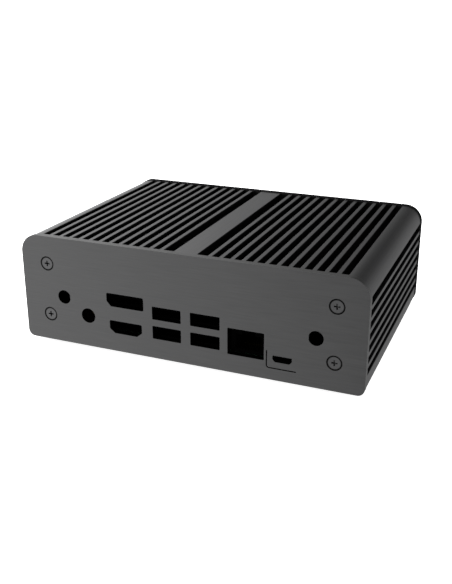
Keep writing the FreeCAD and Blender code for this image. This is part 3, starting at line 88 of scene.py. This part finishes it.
# ------------------------------------------------------------------ node graphs
class Graph:
    """A tree of shader nodes, with short ways to add to it."""

    # the colour sockets of a Mix node, which has others for numbers and vectors
    MIX_FIRST, MIX_SECOND, MIX_RESULT = 6, 7, 2

    def __init__(self, tree):
        self.nodes = tree.nodes
        self.links = tree.links

    def feed(self, socket, value):
        """Give a socket a value, or join another node's output to it."""
        if isinstance(value, bpy.types.NodeSocket):
            self.links.new(value, socket)
        else:
            socket.default_value = value

    def add(self, kind, *sources, settings=None, **inputs):
        """A node with some properties set and its inputs fed, by order or by name."""
        node = self.nodes.new(kind)
        for key, value in (settings or {}).items():
            setattr(node, key, value)
        for number, value in enumerate(sources):
            self.feed(node.inputs[number], value)
        for key, value in inputs.items():
            self.feed(node.inputs[key.replace("_", " ")], value)
        return node

    def math(self, operation, *sources):
        return self.add("ShaderNodeMath", *sources, settings={"operation": operation}).outputs[0]

    def part(self, axis, vector):
        """One component of a vector."""
        return self.add("ShaderNodeSeparateXYZ", vector).outputs[AXES.index(axis)]

    def between(self, factor, low, high, start=0.3, end=0.7):
        """A factor's span from start to end, mapped to low to high."""
        return self.add("ShaderNodeMapRange", factor, start, end, low, high).outputs[0]

    def over(self, color, other, factor, blend="MIX"):
        """Another colour laid over one where the factor is 1."""
        node = self.add("ShaderNodeMix", factor, settings={"data_type": "RGBA", "blend_type": blend})
        for number, value in ((self.MIX_FIRST, color), (self.MIX_SECOND, other)):
            self.feed(node.inputs[number], (*value, 1.0) if isinstance(value, tuple) else value)
        return node.outputs[self.MIX_RESULT]


class Recipe(Graph):
    """One material: a Principled shader and the procedural nodes that feed it."""

    BEVEL_SAMPLES = 6
    EDGE_START, EDGE_END = 0.8, 0.995       # the lean of a rounded edge's normal, as a cosine
    RING_WANDER = 1.5                       # how far the rings stray from true, in pitches

    def __init__(self, name, color, metallic=0.0, roughness=0.5, **inputs):
        self.material = bpy.data.materials.new(name)
        self.material.use_nodes = True
        self.material.diffuse_color = (*color, 1.0)
        super().__init__(self.material.node_tree)
        self.color = color
        self.shader = self.nodes["Principled BSDF"]
        self.shader.inputs["Base Color"].default_value = (*color, 1.0)
        self.shader.inputs["Metallic"].default_value = metallic
        self.shader.inputs["Roughness"].default_value = roughness
        for key, value in inputs.items():
            self.shader.inputs[key.replace("_", " ")].default_value = value
        self.coordinates = self.nodes.new("ShaderNodeTexCoord").outputs["Object"]

    def at(self, axis):
        """One of the object's own coordinates."""
        return self.part(axis, self.coordinates)

    def face_normal(self):
        return self.add("ShaderNodeNewGeometry").outputs["Normal"]

    def facing(self, axis):
        """How far a face looks along an axis, from -1 to 1."""
        return self.part(axis, self.face_normal())

    def noise(self, scale, detail=3.0, roughness=0.5, stretch=(1.0, 1.0, 1.0)):
        """Soft random marks, about as many to the metre as the scale times the stretch."""
        mapped = self.add("ShaderNodeMapping", Vector=self.coordinates, Scale=stretch)
        node = self.add("ShaderNodeTexNoise", Vector=mapped.outputs[0], Scale=scale, Detail=detail,
                        Roughness=roughness)
        return node.outputs["Fac"]

    def cells(self, scale, settings=None, **inputs):
        """The distance from the middle of the nearest cell of a scattered pattern."""
        node = self.add("ShaderNodeTexVoronoi", settings=settings, Vector=self.coordinates, Scale=scale,
                        **inputs)
        return node.outputs["Distance"]

    def vary(self, factor, amount):
        """A noise, mapped to a little under 1 and a little over it."""
        return self.between(factor, 1.0 - amount, 1.0 + amount)

    def spread(self, factor, low, high):
        """The whole span of a factor, mapped to low to high."""
        return self.between(factor, low, high, start=0.0, end=1.0)

    def gloss(self, factor, roughness, less, more):
        """A roughness that a noise makes uneven."""
        return self.between(factor, roughness - less, roughness + more)

    def mask(self, value, low, high):
        """1 where low < value < high, else 0."""
        above = self.math("GREATER_THAN", value, low)
        below = self.math("LESS_THAN", value, high)
        return self.math("MULTIPLY", above, below)

    def opposite(self, factor):
        return self.math("SUBTRACT", 1.0, factor)

    def shade(self, *factors):
        """The base colour times each factor."""
        color = self.add("ShaderNodeCombineColor", *self.color).outputs[0]
        for factor in factors:
            color = self.add("ShaderNodeVectorMath", color, settings={"operation": "SCALE"},
                             Scale=factor).outputs[0]
        return color

    def edge_normal(self, radius):
        """Normals that round every sharp edge a little, so that edges catch the light."""
        return self.add("ShaderNodeBevel", settings={"samples": self.BEVEL_SAMPLES},
                        Radius=radius).outputs[0]

    def worn(self, rounded, gain):
        """1 on faces, rising towards the gain at rounded edges, where a finish wears bright."""
        dot = self.add("ShaderNodeVectorMath", rounded, self.face_normal(),
                       settings={"operation": "DOT_PRODUCT"})
        edge = self.between(dot.outputs["Value"], 1.0, 0.0, start=self.EDGE_START, end=self.EDGE_END)
        return self.spread(edge, 1.0, gain)

    def below_skin(self, low, high, radius):
        """How deep a point lies under a long box with rounded upper edges that runs along Y."""
        half, top = (high.x - low.x) / 2, high.z
        across = self.math("SUBTRACT", self.math("ABSOLUTE", self.at("X")), half - radius)
        rise = self.math("SUBTRACT", self.at("Z"), top - radius)
        round_part = self.radius(self.math("MAXIMUM", across, 0.0), self.math("MAXIMUM", rise, 0.0))
        flat_part = self.math("MINIMUM", self.math("MAXIMUM", across, rise), 0.0)
        return self.math("SUBTRACT", radius, self.math("ADD", round_part, flat_part))

    def folded(self, axis, centres):
        """A coordinate measured from whichever of two centres is nearer."""
        low, high = centres
        from_middle = self.math("SUBTRACT", self.at(axis), (low + high) / 2)
        return self.math("SUBTRACT", self.math("ABSOLUTE", from_middle), (high - low) / 2)

    def radius(self, first, second):
        """The distance from an axis, given the two coordinates measured from it."""
        squares = self.math("ADD", self.math("POWER", first, 2.0), self.math("POWER", second, 2.0))
        return self.math("SQRT", squares)

    def rings(self, distance, pitch):
        """Tool marks round an axis: a wave along the distance from it, a little uneven."""
        wander = self.math("MULTIPLY", self.noise(900.0, detail=2.0), pitch * self.RING_WANDER)
        turns = self.math("MULTIPLY", self.math("ADD", distance, wander), math.tau / pitch)
        return self.math("MULTIPLY_ADD", self.math("SINE", turns), 0.5, 0.5)

    def finish(self, color=None, roughness=None, heights=(), normal=None):
        """Join the results to the shader. heights are (factor, depth in metres) pairs of bumps."""
        if color is not None:
            self.links.new(color, self.shader.inputs["Base Color"])
        if roughness is not None:
            self.links.new(roughness, self.shader.inputs["Roughness"])
        for factor, depth in heights:
            bump = self.add("ShaderNodeBump", Strength=1.0, Distance=depth, Height=factor)
            if normal is not None:
                self.links.new(normal, bump.inputs["Normal"])
            normal = bump.outputs[0]
        if normal is not None:
            self.links.new(normal, self.shader.inputs["Normal"])
        return self.material


# ------------------------------------------------------------------ the case's finishes
GAP_SHADE = 0.22                        # painted shade: how dark the finish is painted deep in the gaps between the fins
GAP_START, GAP_END = 0.1 * MM, 0.9 * MM

LINE_DEPTHS = 0.2 * MM, 0.4 * MM        # the engraved line's floor lies between them
PANEL_RIM = 1.5 * MM                    # the panel's outer edges stay bare this far in
FLAT_ON = 0.9                           # a face that looks along an axis by more than this is flat on
# black for the engraved line's floor and for the painted shade on the cut-outs' walls
BLACK_LINE_AND_SHADE = (0.004, 0.004, 0.004)


def extruded_aluminium(name, color, roughness):
    """Dark anodised extrusion: faint die lines along its length, a fine satin grain and painted shade in
    the fin gaps.
    """
    recipe = Recipe(name, color, metallic=1.0, roughness=roughness)
    die_lines = recipe.noise(1.0, stretch=(1400.0, 9.0, 1400.0))
    grain = recipe.noise(5200.0, detail=2.0)
    cloud = recipe.noise(28.0)
    rounded = recipe.edge_normal(0.14 * MM)
    depth = recipe.below_skin(BODY_LOW, BODY_HIGH, SHOULDER_RADIUS)
    # painted shade: the colour darkens with depth into the gaps between the fins
    painted_gap_shade = recipe.between(depth, 1.0, GAP_SHADE, start=GAP_START, end=GAP_END)
    shade = recipe.shade(recipe.vary(die_lines, 0.07), recipe.vary(cloud, 0.03),
                         recipe.worn(rounded, gain=1.25), painted_gap_shade)
    rough = recipe.gloss(grain, roughness, less=0.03, more=0.06)
    return recipe.finish(shade, rough, [(die_lines, 0.002 * MM), (grain, 0.002 * MM)], rounded)


def brushed_aluminium(name, color, roughness, edge_tint=1.0):
    """Anodised plate brushed along X: long fine scratches, shorter faint streaks, painted shade in the
    cut-outs.
    """
    recipe = Recipe(name, color, metallic=1.0, roughness=roughness,
                    Specular_Tint=(edge_tint, edge_tint, edge_tint, 1.0))
    fine = recipe.noise(1.0, stretch=(60.0, 3200.0, 3200.0))
    streaks = recipe.noise(1.0, detail=4.0, roughness=0.6, stretch=(70.0, 500.0, 900.0))
    cloud = recipe.noise(22.0)
    rounded = recipe.edge_normal(0.12 * MM)
    shade = recipe.shade(recipe.vary(fine, 0.05), recipe.vary(streaks, 0.035),
                         recipe.vary(cloud, 0.02), recipe.worn(rounded, gain=1.25))
    # the engraved line's floor is coloured black, and the walls of the cut-outs are painted black as
    # painted shade
    facing = recipe.facing("Y")
    depth = recipe.math("SUBTRACT", recipe.at("Y"), PANEL_LOW.y)
    line_floor = recipe.math("MULTIPLY", recipe.mask(depth, *LINE_DEPTHS),
                         recipe.math("LESS_THAN", facing, -FLAT_ON))
    under = recipe.below_skin(PANEL_LOW, PANEL_HIGH, SHOULDER_RADIUS)
    inside = recipe.math("MULTIPLY", recipe.math("GREATER_THAN", under, PANEL_RIM),
                         recipe.math("GREATER_THAN", recipe.at("Z"), PANEL_LOW.z + PANEL_RIM))
    sideways = recipe.math("LESS_THAN", recipe.math("ABSOLUTE", facing), FLAT_ON)
    # painted shade: the side walls of the cut-outs are darkened to black
    wall = recipe.math("MULTIPLY", inside, sideways)
    shade = recipe.over(shade, BLACK_LINE_AND_SHADE, recipe.math("MAXIMUM", line_floor, wall))
    rough = recipe.gloss(streaks, roughness, less=0.04, more=0.05)
    return recipe.finish(shade, rough, [(fine, 0.0022 * MM), (streaks, 0.0015 * MM)], rounded)


def powder_coat(name, color, roughness):
    """Sprayed powder over sheet metal: a pebbled skin, matt, with the odd brighter speck."""
    recipe = Recipe(name, color, roughness=roughness)
    pebbles = recipe.cells(2200.0, settings={"feature": "SMOOTH_F1"}, Smoothness=0.8)
    waves = recipe.noise(420.0)
    cloud = recipe.noise(40.0)
    rounded = recipe.edge_normal(0.2 * MM)
    shade = recipe.shade(recipe.between(pebbles, 1.12, 0.85, start=0.0, end=0.6),
                         recipe.vary(cloud, 0.06), recipe.worn(rounded, gain=1.4))
    rough = recipe.gloss(waves, roughness, less=0.06, more=0.06)
    return recipe.finish(shade, rough, [(pebbles, 0.03 * MM), (waves, 0.012 * MM)], rounded)


def rubber(name, color):
    """Moulded rubber: dull, with a fine pitted skin and a dusting of bloom."""
    recipe = Recipe(name, color, roughness=0.85)
    pits = recipe.cells(1500.0)
    bloom = recipe.noise(160.0, detail=5.0, roughness=0.65)
    shade = recipe.shade(recipe.between(bloom, 0.85, 1.45),
                         recipe.between(pits, 0.85, 1.1, start=0.0, end=0.6))
    return recipe.finish(shade, recipe.between(bloom, 0.78, 0.95), [(pits, 0.03 * MM)],
                         recipe.edge_normal(0.15 * MM))


# ------------------------------------------------------------------ turned and milled metal
HEAD_RIM = 0.5 * MM, 0.2 * MM           # painted shade round each head's rim: how far in from the edge it starts, and where it is darkest
RIM_SHADE = 0.12
# painted shade on the walls of the cross recess
CROSS_SHADE = 0.75
CROSS_START, CROSS_END = 0.7, 0.95      # how flat on the recess's walls and the head's face are


def screw_centres(node, axes, head_radius):
    """Where a group of four screws has its axes: a low and a high centre on each of two axes."""
    low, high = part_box(node)
    return [(low[AXES.index(axis)] + head_radius, high[AXES.index(axis)] - head_radius)
            for axis in axes]


def turned_heads(name, node, axes, head_radius, color, roughness):
    """Four screws with heads faced on a lathe: fine rings, with painted shade round the rim and in the
    cross.
    """
    recipe = Recipe(name, color, metallic=1.0, roughness=roughness)
    places = zip(axes, screw_centres(node, axes, head_radius))
    distance = recipe.radius(*(recipe.folded(axis, centres) for axis, centres in places))
    rings = recipe.rings(distance, 0.22 * MM)
    cloud = recipe.noise(260.0)
    grain = recipe.noise(2600.0)
    rim_start, rim_end = (head_radius - inset for inset in HEAD_RIM)
    painted_rim_shade = recipe.between(distance, 1.0, RIM_SHADE, start=rim_start, end=rim_end)
    turning_axis = (set(AXES) - set(axes)).pop()
    facing = recipe.math("ABSOLUTE", recipe.facing(turning_axis))
    painted_cross_shade = recipe.between(facing, CROSS_SHADE, 1.0, start=CROSS_START, end=CROSS_END)
    shade = recipe.shade(recipe.spread(rings, 0.88, 1.1), recipe.vary(cloud, 0.05), painted_rim_shade, painted_cross_shade)
    rough = recipe.gloss(cloud, roughness, less=0.04, more=0.06)
    return recipe.finish(shade, rough, [(rings, 0.003 * MM), (grain, 0.002 * MM)],
                         recipe.edge_normal(0.06 * MM))


def turned_disc(name, node, color, roughness):
    """A faced and anodised disc on an axis along Y: fine rings round its centre."""
    recipe = Recipe(name, color, metallic=1.0, roughness=roughness)
    low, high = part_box(node)
    middle = (low + high) / 2
    distance = recipe.radius(recipe.math("SUBTRACT", recipe.at("X"), middle.x),
                             recipe.math("SUBTRACT", recipe.at("Z"), middle.z))
    rings = recipe.rings(distance, 0.35 * MM)
    fine = recipe.rings(distance, 0.12 * MM)
    cloud = recipe.noise(180.0)
    rounded = recipe.edge_normal(0.12 * MM)
    shade = recipe.shade(recipe.spread(rings, 0.92, 1.08), recipe.spread(fine, 0.95, 1.05),
                         recipe.vary(cloud, 0.04), recipe.worn(rounded, gain=1.35))
    rough = recipe.gloss(cloud, roughness, less=0.04, more=0.06)
    return recipe.finish(shade, rough, [(rings, 0.003 * MM), (fine, 0.0015 * MM)], rounded)


def milled(name, color, roughness):
    """Milled metal: arcs of cutter marks across the faces and a fine grain along them."""
    recipe = Recipe(name, color, metallic=1.0, roughness=roughness)
    arcs = recipe.add("ShaderNodeTexWave", settings={"wave_type": "RINGS", "rings_direction": "Z"},
                      Vector=recipe.coordinates, Scale=420.0, Distortion=1.2, Detail=2.0).outputs["Fac"]
    grain = recipe.noise(1.0, stretch=(300.0, 2400.0, 2400.0))
    rounded = recipe.edge_normal(0.12 * MM)
    shade = recipe.shade(recipe.spread(arcs, 0.93, 1.05), recipe.vary(grain, 0.05),
                         recipe.worn(rounded, gain=1.2))
    rough = recipe.gloss(grain, roughness, less=0.05, more=0.08)
    return recipe.finish(shade, rough, [(arcs, 0.003 * MM), (grain, 0.002 * MM)], rounded)


# ------------------------------------------------------------------ boards, mouldings and the rest
PLATED_HOLE = (0.5, 0.42, 0.22)
HOLE_SIZE = 0.09                        # in cells of the scatter
TRACK = 0.3, 0.62                       # the part of each pitch that a track takes
BARE = 0.38, 0.52                       # the noise that leaves the board without tracks


def solder_mask(name, color, track_color, pitch):
    """A circuit board: mask over tracks that run both ways in patches, with plated holes."""
    recipe = Recipe(name, color, roughness=0.32)
    ways = [recipe.math("FRACT", recipe.math("MULTIPLY", recipe.at(axis), 1.0 / pitch)) for axis in "XY"]
    along_y, along_x = [recipe.mask(way, *TRACK) for way in ways]
    choice = recipe.math("GREATER_THAN", recipe.noise(70.0, detail=1.0), 0.5)
    tracks = recipe.math("ADD", recipe.math("MULTIPLY", along_y, choice),
                         recipe.math("MULTIPLY", along_x, recipe.opposite(choice)))
    bare = recipe.mask(recipe.noise(55.0, detail=2.0), *BARE)
    tracks = recipe.math("MULTIPLY", tracks, recipe.opposite(bare))
    holes = recipe.math("LESS_THAN", recipe.cells(260.0, Randomness=0.85), HOLE_SIZE)
    flat = recipe.math("GREATER_THAN", recipe.math("ABSOLUTE", recipe.facing("Z")), FLAT_ON)
    tracks, holes = (recipe.math("MULTIPLY", layer, flat) for layer in (tracks, holes))
    cloud = recipe.noise(60.0)
    shade = recipe.over(recipe.shade(recipe.vary(cloud, 0.1)), track_color, tracks)
    shade = recipe.over(shade, PLATED_HOLE, holes)
    rough = recipe.between(cloud, 0.26, 0.4)
    return recipe.finish(shade, rough, [(tracks, 0.012 * MM), (holes, 0.01 * MM)],
                         recipe.edge_normal(0.08 * MM))


def moulded(name, color, roughness, **inputs):
    """Moulded plastic: a spark-eroded texture, faint flow lines and slightly shinier edges."""
    recipe = Recipe(name, color, roughness=roughness, **inputs)
    erosion = recipe.noise(1500.0, detail=4.0, roughness=0.6)
    flow = recipe.noise(1.0, stretch=(120.0, 420.0, 420.0))
    rounded = recipe.edge_normal(0.1 * MM)
    shade = recipe.shade(recipe.vary(erosion, 0.12), recipe.vary(flow, 0.05),
                         recipe.worn(rounded, gain=1.3))
    rough = recipe.gloss(erosion, roughness, less=0.05, more=0.08)
    return recipe.finish(shade, rough, [(erosion, 0.012 * MM), (flow, 0.003 * MM)], rounded)


def plain(name, color, roughness, grain, depth, metallic=0.0, **inputs):
    """A cast or plated finish: a mottled colour, uneven gloss and a grain of some scale and depth."""
    recipe = Recipe(name, color, metallic=metallic, roughness=roughness, **inputs)
    marks = recipe.noise(grain)
    cloud = recipe.noise(90.0)
    shade = recipe.shade(recipe.vary(marks, 0.12), recipe.vary(cloud, 0.06))
    rough = recipe.gloss(cloud, roughness, less=0.06, more=0.08)
    return recipe.finish(shade, rough, [(marks, depth)], recipe.edge_normal(0.08 * MM))


def plated(name, color, roughness, grain, depth, **inputs):
    return plain(name, color, roughness, grain, depth, metallic=1.0, **inputs)


SCREW_HEAD_RADIUS = 3.0 * MM


def black_screws(name, node, axes):
    return turned_heads(name, node, axes, SCREW_HEAD_RADIUS, color=(0.125, 0.125, 0.127), roughness=0.36)


MATERIALS = {
    "anodised_body": extruded_aluminium("anodised_body", (0.112, 0.112, 0.114), roughness=0.36),
    "anodised_panel": brushed_aluminium("anodised_panel", (0.112, 0.112, 0.113), roughness=0.38),
    "anodised_front": brushed_aluminium("anodised_front", (0.045, 0.045, 0.046),
                                        roughness=0.38, edge_tint=0.25),
    "cover_plate": powder_coat("cover_plate", (0.03, 0.03, 0.031), roughness=0.55),
    "black_screw": black_screws("black_screw", "io_panel_screws", "XZ"),
    "bright_screw": plated("bright_screw", (0.62, 0.63, 0.64),
                           roughness=0.28, grain=2600.0, depth=0.002 * MM),
    "foot_rubber": rubber("foot_rubber", (0.018, 0.018, 0.018)),
    "circuit_board": solder_mask("circuit_board", (0.006, 0.03, 0.016),
                                 track_color=(0.014, 0.06, 0.032), pitch=0.8 * MM),
    "card_board": solder_mask("card_board", (0.005, 0.022, 0.014),
                              track_color=(0.012, 0.048, 0.03), pitch=0.5 * MM),
    "brass_post": plated("brass_post", (0.66, 0.48, 0.2),
                         roughness=0.3, grain=2000.0, depth=0.003 * MM),
    "package_substrate": plain("package_substrate", (0.02, 0.07, 0.03),
                               roughness=0.4, grain=900.0, depth=0.005 * MM),
    "die_silicon": plain("die_silicon", (0.08, 0.09, 0.12),
                         roughness=0.12, grain=400.0, depth=0.0005 * MM, metallic=0.9),
    "thermal_pad": plain("thermal_pad", (0.42, 0.5, 0.6), roughness=0.8, grain=700.0, depth=0.03 * MM),
    "block_aluminium": milled("block_aluminium", (0.72, 0.72, 0.74), roughness=0.3),
    "socket_plastic": moulded("socket_plastic", (0.02, 0.02, 0.02), roughness=0.5),
    # painted shade: what lies in the cut-outs is darkened to nearly black, the shade that fills the
    # openings
    "port_plastic": moulded("port_plastic", (0.0008, 0.0008, 0.0008),
                            roughness=0.85, Specular_IOR_Level=0.0),
    "port_shell": plated("port_shell", (0.003, 0.003, 0.003),
                         roughness=0.5, grain=1600.0, depth=0.003 * MM,
                         Specular_Tint=(0.03, 0.03, 0.03, 1.0)),
    # painted shade: the contacts' gold is darkened to the shade inside the openings
    "contact_metal": plated("contact_metal", (0.03, 0.022, 0.01),
                            roughness=0.35, grain=2000.0, depth=0.001 * MM,
                            Specular_Tint=(0.1, 0.08, 0.03, 1.0)),
    "chip_black": plain("chip_black", (0.02, 0.02, 0.021),
                        roughness=0.55, grain=2400.0, depth=0.008 * MM),
    "capacitor_can": plated("capacitor_can", (0.68, 0.68, 0.7),
                            roughness=0.3, grain=1200.0, depth=0.003 * MM),
    "cell_steel": plated("cell_steel", (0.66, 0.66, 0.66),
                         roughness=0.2, grain=1200.0, depth=0.002 * MM),
    "button_metal": turned_disc("button_metal", "power_button_cap", (0.1, 0.1, 0.102), roughness=0.34),
    "guide_plastic": moulded("guide_plastic", (0.025, 0.025, 0.025), roughness=0.5),
    "spring_wire": plated("spring_wire", (0.6, 0.6, 0.62),
                          roughness=0.25, grain=2400.0, depth=0.001 * MM),
}

for entry in frame["record"]["subparts"]:
    node = NODES[entry["node"]]
    node.data.materials.clear()
    node.data.materials.append(MATERIALS[entry["material_slot"]])
# the cover's screws point down, so their rings lie round other axes
NODES["bottom_cover_screws"].data.materials[0] = black_screws("cover_screw", "bottom_cover_screws", "XY")


# ------------------------------------------------------------------ the button's spring
SPRING_WIRE = 0.3 * MM                  # the wire's radius
SPRING_TURNS = 3
TURN_STEPS = 48                         # points to each turn of the wire


def spring_mesh(low, high):
    """A coil along Y that fills a box."""
    middle = (low + high) / 2
    reach = (high.x - low.x) / 2 - SPRING_WIRE
    span = high.y - low.y - SPRING_WIRE * 2
    curve = bpy.data.curves.new("button_spring", "CURVE")
    curve.dimensions = "3D"
    curve.bevel_depth = SPRING_WIRE
    curve.bevel_resolution = 4
    curve.use_fill_caps = True
    spline = curve.splines.new("POLY")
    last = SPRING_TURNS * TURN_STEPS
    spline.points.add(last)
    for number, point in enumerate(spline.points):
        angle = math.tau * number / TURN_STEPS
        point.co = (middle.x + reach * math.cos(angle), low.y + SPRING_WIRE + span * number / last,
                    middle.z + reach * math.sin(angle), 1.0)
    source = bpy.data.objects.new("button_spring_path", curve)
    bpy.context.scene.collection.objects.link(source)
    mesh = bpy.data.meshes.new_from_object(source)
    bpy.data.objects.remove(source)
    bpy.data.curves.remove(curve)
    mesh.name = "button_spring"
    mesh.materials.clear()
    for face in mesh.polygons:
        face.use_smooth = True
    return mesh


def coil_spring():
    """The button's coil spring, made at one fixed length, though the real one shortens as the cap is
    pressed.
    """
    low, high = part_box("power_button_spring")
    mesh = spring_mesh(low, high)
    mesh.materials.append(MATERIALS["spring_wire"])
    spring = bpy.data.objects.new("button_spring", mesh)
    bpy.context.scene.collection.objects.link(spring)
    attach(spring, "case")
    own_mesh(spring)
    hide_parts("power_button_spring")


coil_spring()


# ------------------------------------------------------------------ floor and backdrop
STUDIO_REACH = 7.5                      # from the middle of the floor to the backdrop
FLOOR_REACH = STUDIO_REACH * 1.05
FLOOR_GLOW = 0.88
BACKDROP_SIDES = 96
BACKDROP_DROP, BACKDROP_RISE = 0.5, STUDIO_REACH * 0.8      # how far it goes below and above the floor


def staged(name, points, faces):
    """A stand-in for the studio, which isn't part of the object."""
    mesh = bpy.data.meshes.new(name)
    mesh.from_pydata(points, [], faces)
    piece = bpy.data.objects.new(name, mesh)
    bpy.context.scene.collection.objects.link(piece)
    return piece


def glowing(name, color, roughness, glow):
    return Recipe(name, color, roughness=roughness, Specular_IOR_Level=0.0,
                  Emission_Color=WHITE, Emission_Strength=glow).finish()


def make_floor():
    """A wide pale floor; reflections see the studio's light instead of it."""
    reach = FLOOR_REACH
    points = [(-reach, -reach, 0), (reach, -reach, 0), (reach, reach, 0), (-reach, reach, 0)]
    floor = staged("floor", points, faces=[(0, 1, 2, 3)])
    floor.visible_glossy = False
    floor.data.materials.append(glowing("floor", (0.86, 0.86, 0.86), roughness=0.8, glow=FLOOR_GLOW))


def make_backdrop():
    """A white wall far round the floor, which only fills the view: it sheds and blocks no light."""
    sides = range(BACKDROP_SIDES)
    turns = [math.tau * side / BACKDROP_SIDES for side in sides]
    ring = [(STUDIO_REACH * math.sin(turn), STUDIO_REACH * math.cos(turn)) for turn in turns]
    points = [(x, y, z) for z in (-BACKDROP_DROP, BACKDROP_RISE) for x, y in ring]
    following = [(side + 1) % BACKDROP_SIDES for side in sides]
    faces = [(side, after, after + BACKDROP_SIDES, side + BACKDROP_SIDES)
             for side, after in zip(sides, following)]
    backdrop = staged("backdrop", points, faces)
    backdrop.visible_glossy = backdrop.visible_diffuse = backdrop.visible_shadow = False
    backdrop.data.materials.append(glowing("backdrop", (0.0, 0.0, 0.0), roughness=1.0, glow=1.0))


# ------------------------------------------------------------------ light
SUN_STRENGTH = 3.0
SUN_SPREAD = 70                         # degrees
SUN_TILT_ABOUT_X, SUN_TILT_ABOUT_Y = -12, -10

# Brightness of the studio's walls by compass direction, in degrees from +Y round to the right.
WALLS = [(-180, 0.26), (-170, 0.28), (-145, 1.45), (-110, 1.45), (-60, 2.0), (-38, 1.5), (-22, 0.46),
         (-10, 0.18), (4, 0.05), (20, 0.07), (48, 0.45), (75, 0.85), (130, 0.8), (180, 0.26)]
BRIGHTEST = max(level for direction, level in WALLS)        # the level that white stands for
GROUND_LEVEL = 0.42                     # the least brightness below the horizon
CEILING_LEVEL = 0.7
# where the walls give way to the ground and to the ceiling, as the sine of the height
GROUND_START, GROUND_END = 0.26, 0.0
CEILING_START, CEILING_END = 0.55, 0.95


def make_sun():
    """A broad, soft light from overhead that whitens the floor and leaves the metal to the sky."""
    data = bpy.data.lights.new("overhead", "SUN")
    data.energy = SUN_STRENGTH
    data.angle = math.radians(SUN_SPREAD)
    sun = bpy.data.objects.new("overhead", data)
    sun.rotation_euler = (math.radians(SUN_TILT_ABOUT_X), math.radians(SUN_TILT_ABOUT_Y), 0.0)
    sun.visible_glossy = False
    bpy.context.scene.collection.objects.link(sun)


def grey(level):
    return (level / BRIGHTEST, level / BRIGHTEST, level / BRIGHTEST)


def walls_by_bearing(graph, bearing):
    """The walls' brightness in a direction, which is in radians."""
    share = graph.between(bearing, 0.0, 1.0, start=-math.pi, end=math.pi)
    node = graph.add("ShaderNodeValToRGB", share)
    ramp = node.color_ramp
    ramp.interpolation = "B_SPLINE"
    while len(ramp.elements) < len(WALLS):
        ramp.elements.new(0.5)
    for element, (degrees, level) in zip(ramp.elements, WALLS):
        element.position = (degrees + 180) / 360
    for element, (degrees, level) in zip(ramp.elements, WALLS):
        element.color = (*grey(level), 1.0)
    return node.outputs[0]


def make_sky():
    """A studio of soft walls, brightest to the left and dim straight behind the object."""
    world = bpy.data.worlds.new("studio")
    bpy.context.scene.world = world
    world.use_nodes = True
    graph = Graph(world.node_tree)
    background = graph.nodes["Background"]
    background.inputs["Strength"].default_value = BRIGHTEST
    direction = graph.nodes.new("ShaderNodeTexCoord").outputs["Generated"]
    along_x, along_y, height = (graph.part(axis, direction) for axis in AXES)
    walls = walls_by_bearing(graph, graph.math("ARCTAN2", along_x, along_y))
    ground = graph.over(walls, grey(GROUND_LEVEL), 1.0, blend="LIGHTEN")
    low = graph.between(height, 0.0, 1.0, start=GROUND_START, end=GROUND_END)
    high = graph.between(height, 0.0, 1.0, start=CEILING_START, end=CEILING_END)
    sky = graph.over(graph.over(walls, ground, low), grey(CEILING_LEVEL), high)
    graph.links.new(sky, background.inputs["Color"])


# ------------------------------------------------------------------ camera
# The photograph's view: to the right of the panel, above it and fairly close.
CAMERA_TURN, CAMERA_DIP = 22.3051, 20.2459                  # degrees
CAMERA_PLACE = 0.8682, -2.1713, 0.9994                      # in widths of the case
CAMERA_LENS = 50.37                                         # millimetres
CAMERA_SHIFT = -0.0308                                      # in widths of the picture
CAMERA_NEAR = 0.01


def make_camera():
    width = CASE_HIGH.x - CASE_LOW.x
    data = bpy.data.cameras.new("camera")
    data.lens = CAMERA_LENS
    data.shift_y = CAMERA_SHIFT
    data.clip_start = CAMERA_NEAR
    camera = bpy.data.objects.new("camera", data)
    across, along, up = CAMERA_PLACE
    camera.location = (across * width, along * width, up * width + PANEL_LOW.z)
    camera.rotation_euler = (math.radians(90 - CAMERA_DIP), 0.0, math.radians(CAMERA_TURN))
    bpy.context.scene.collection.objects.link(camera)
    bpy.context.scene.camera = camera


make_floor()
make_backdrop()
make_sky()
make_sun()
make_camera()
bpy.context.scene.view_settings.view_transform = "Standard"
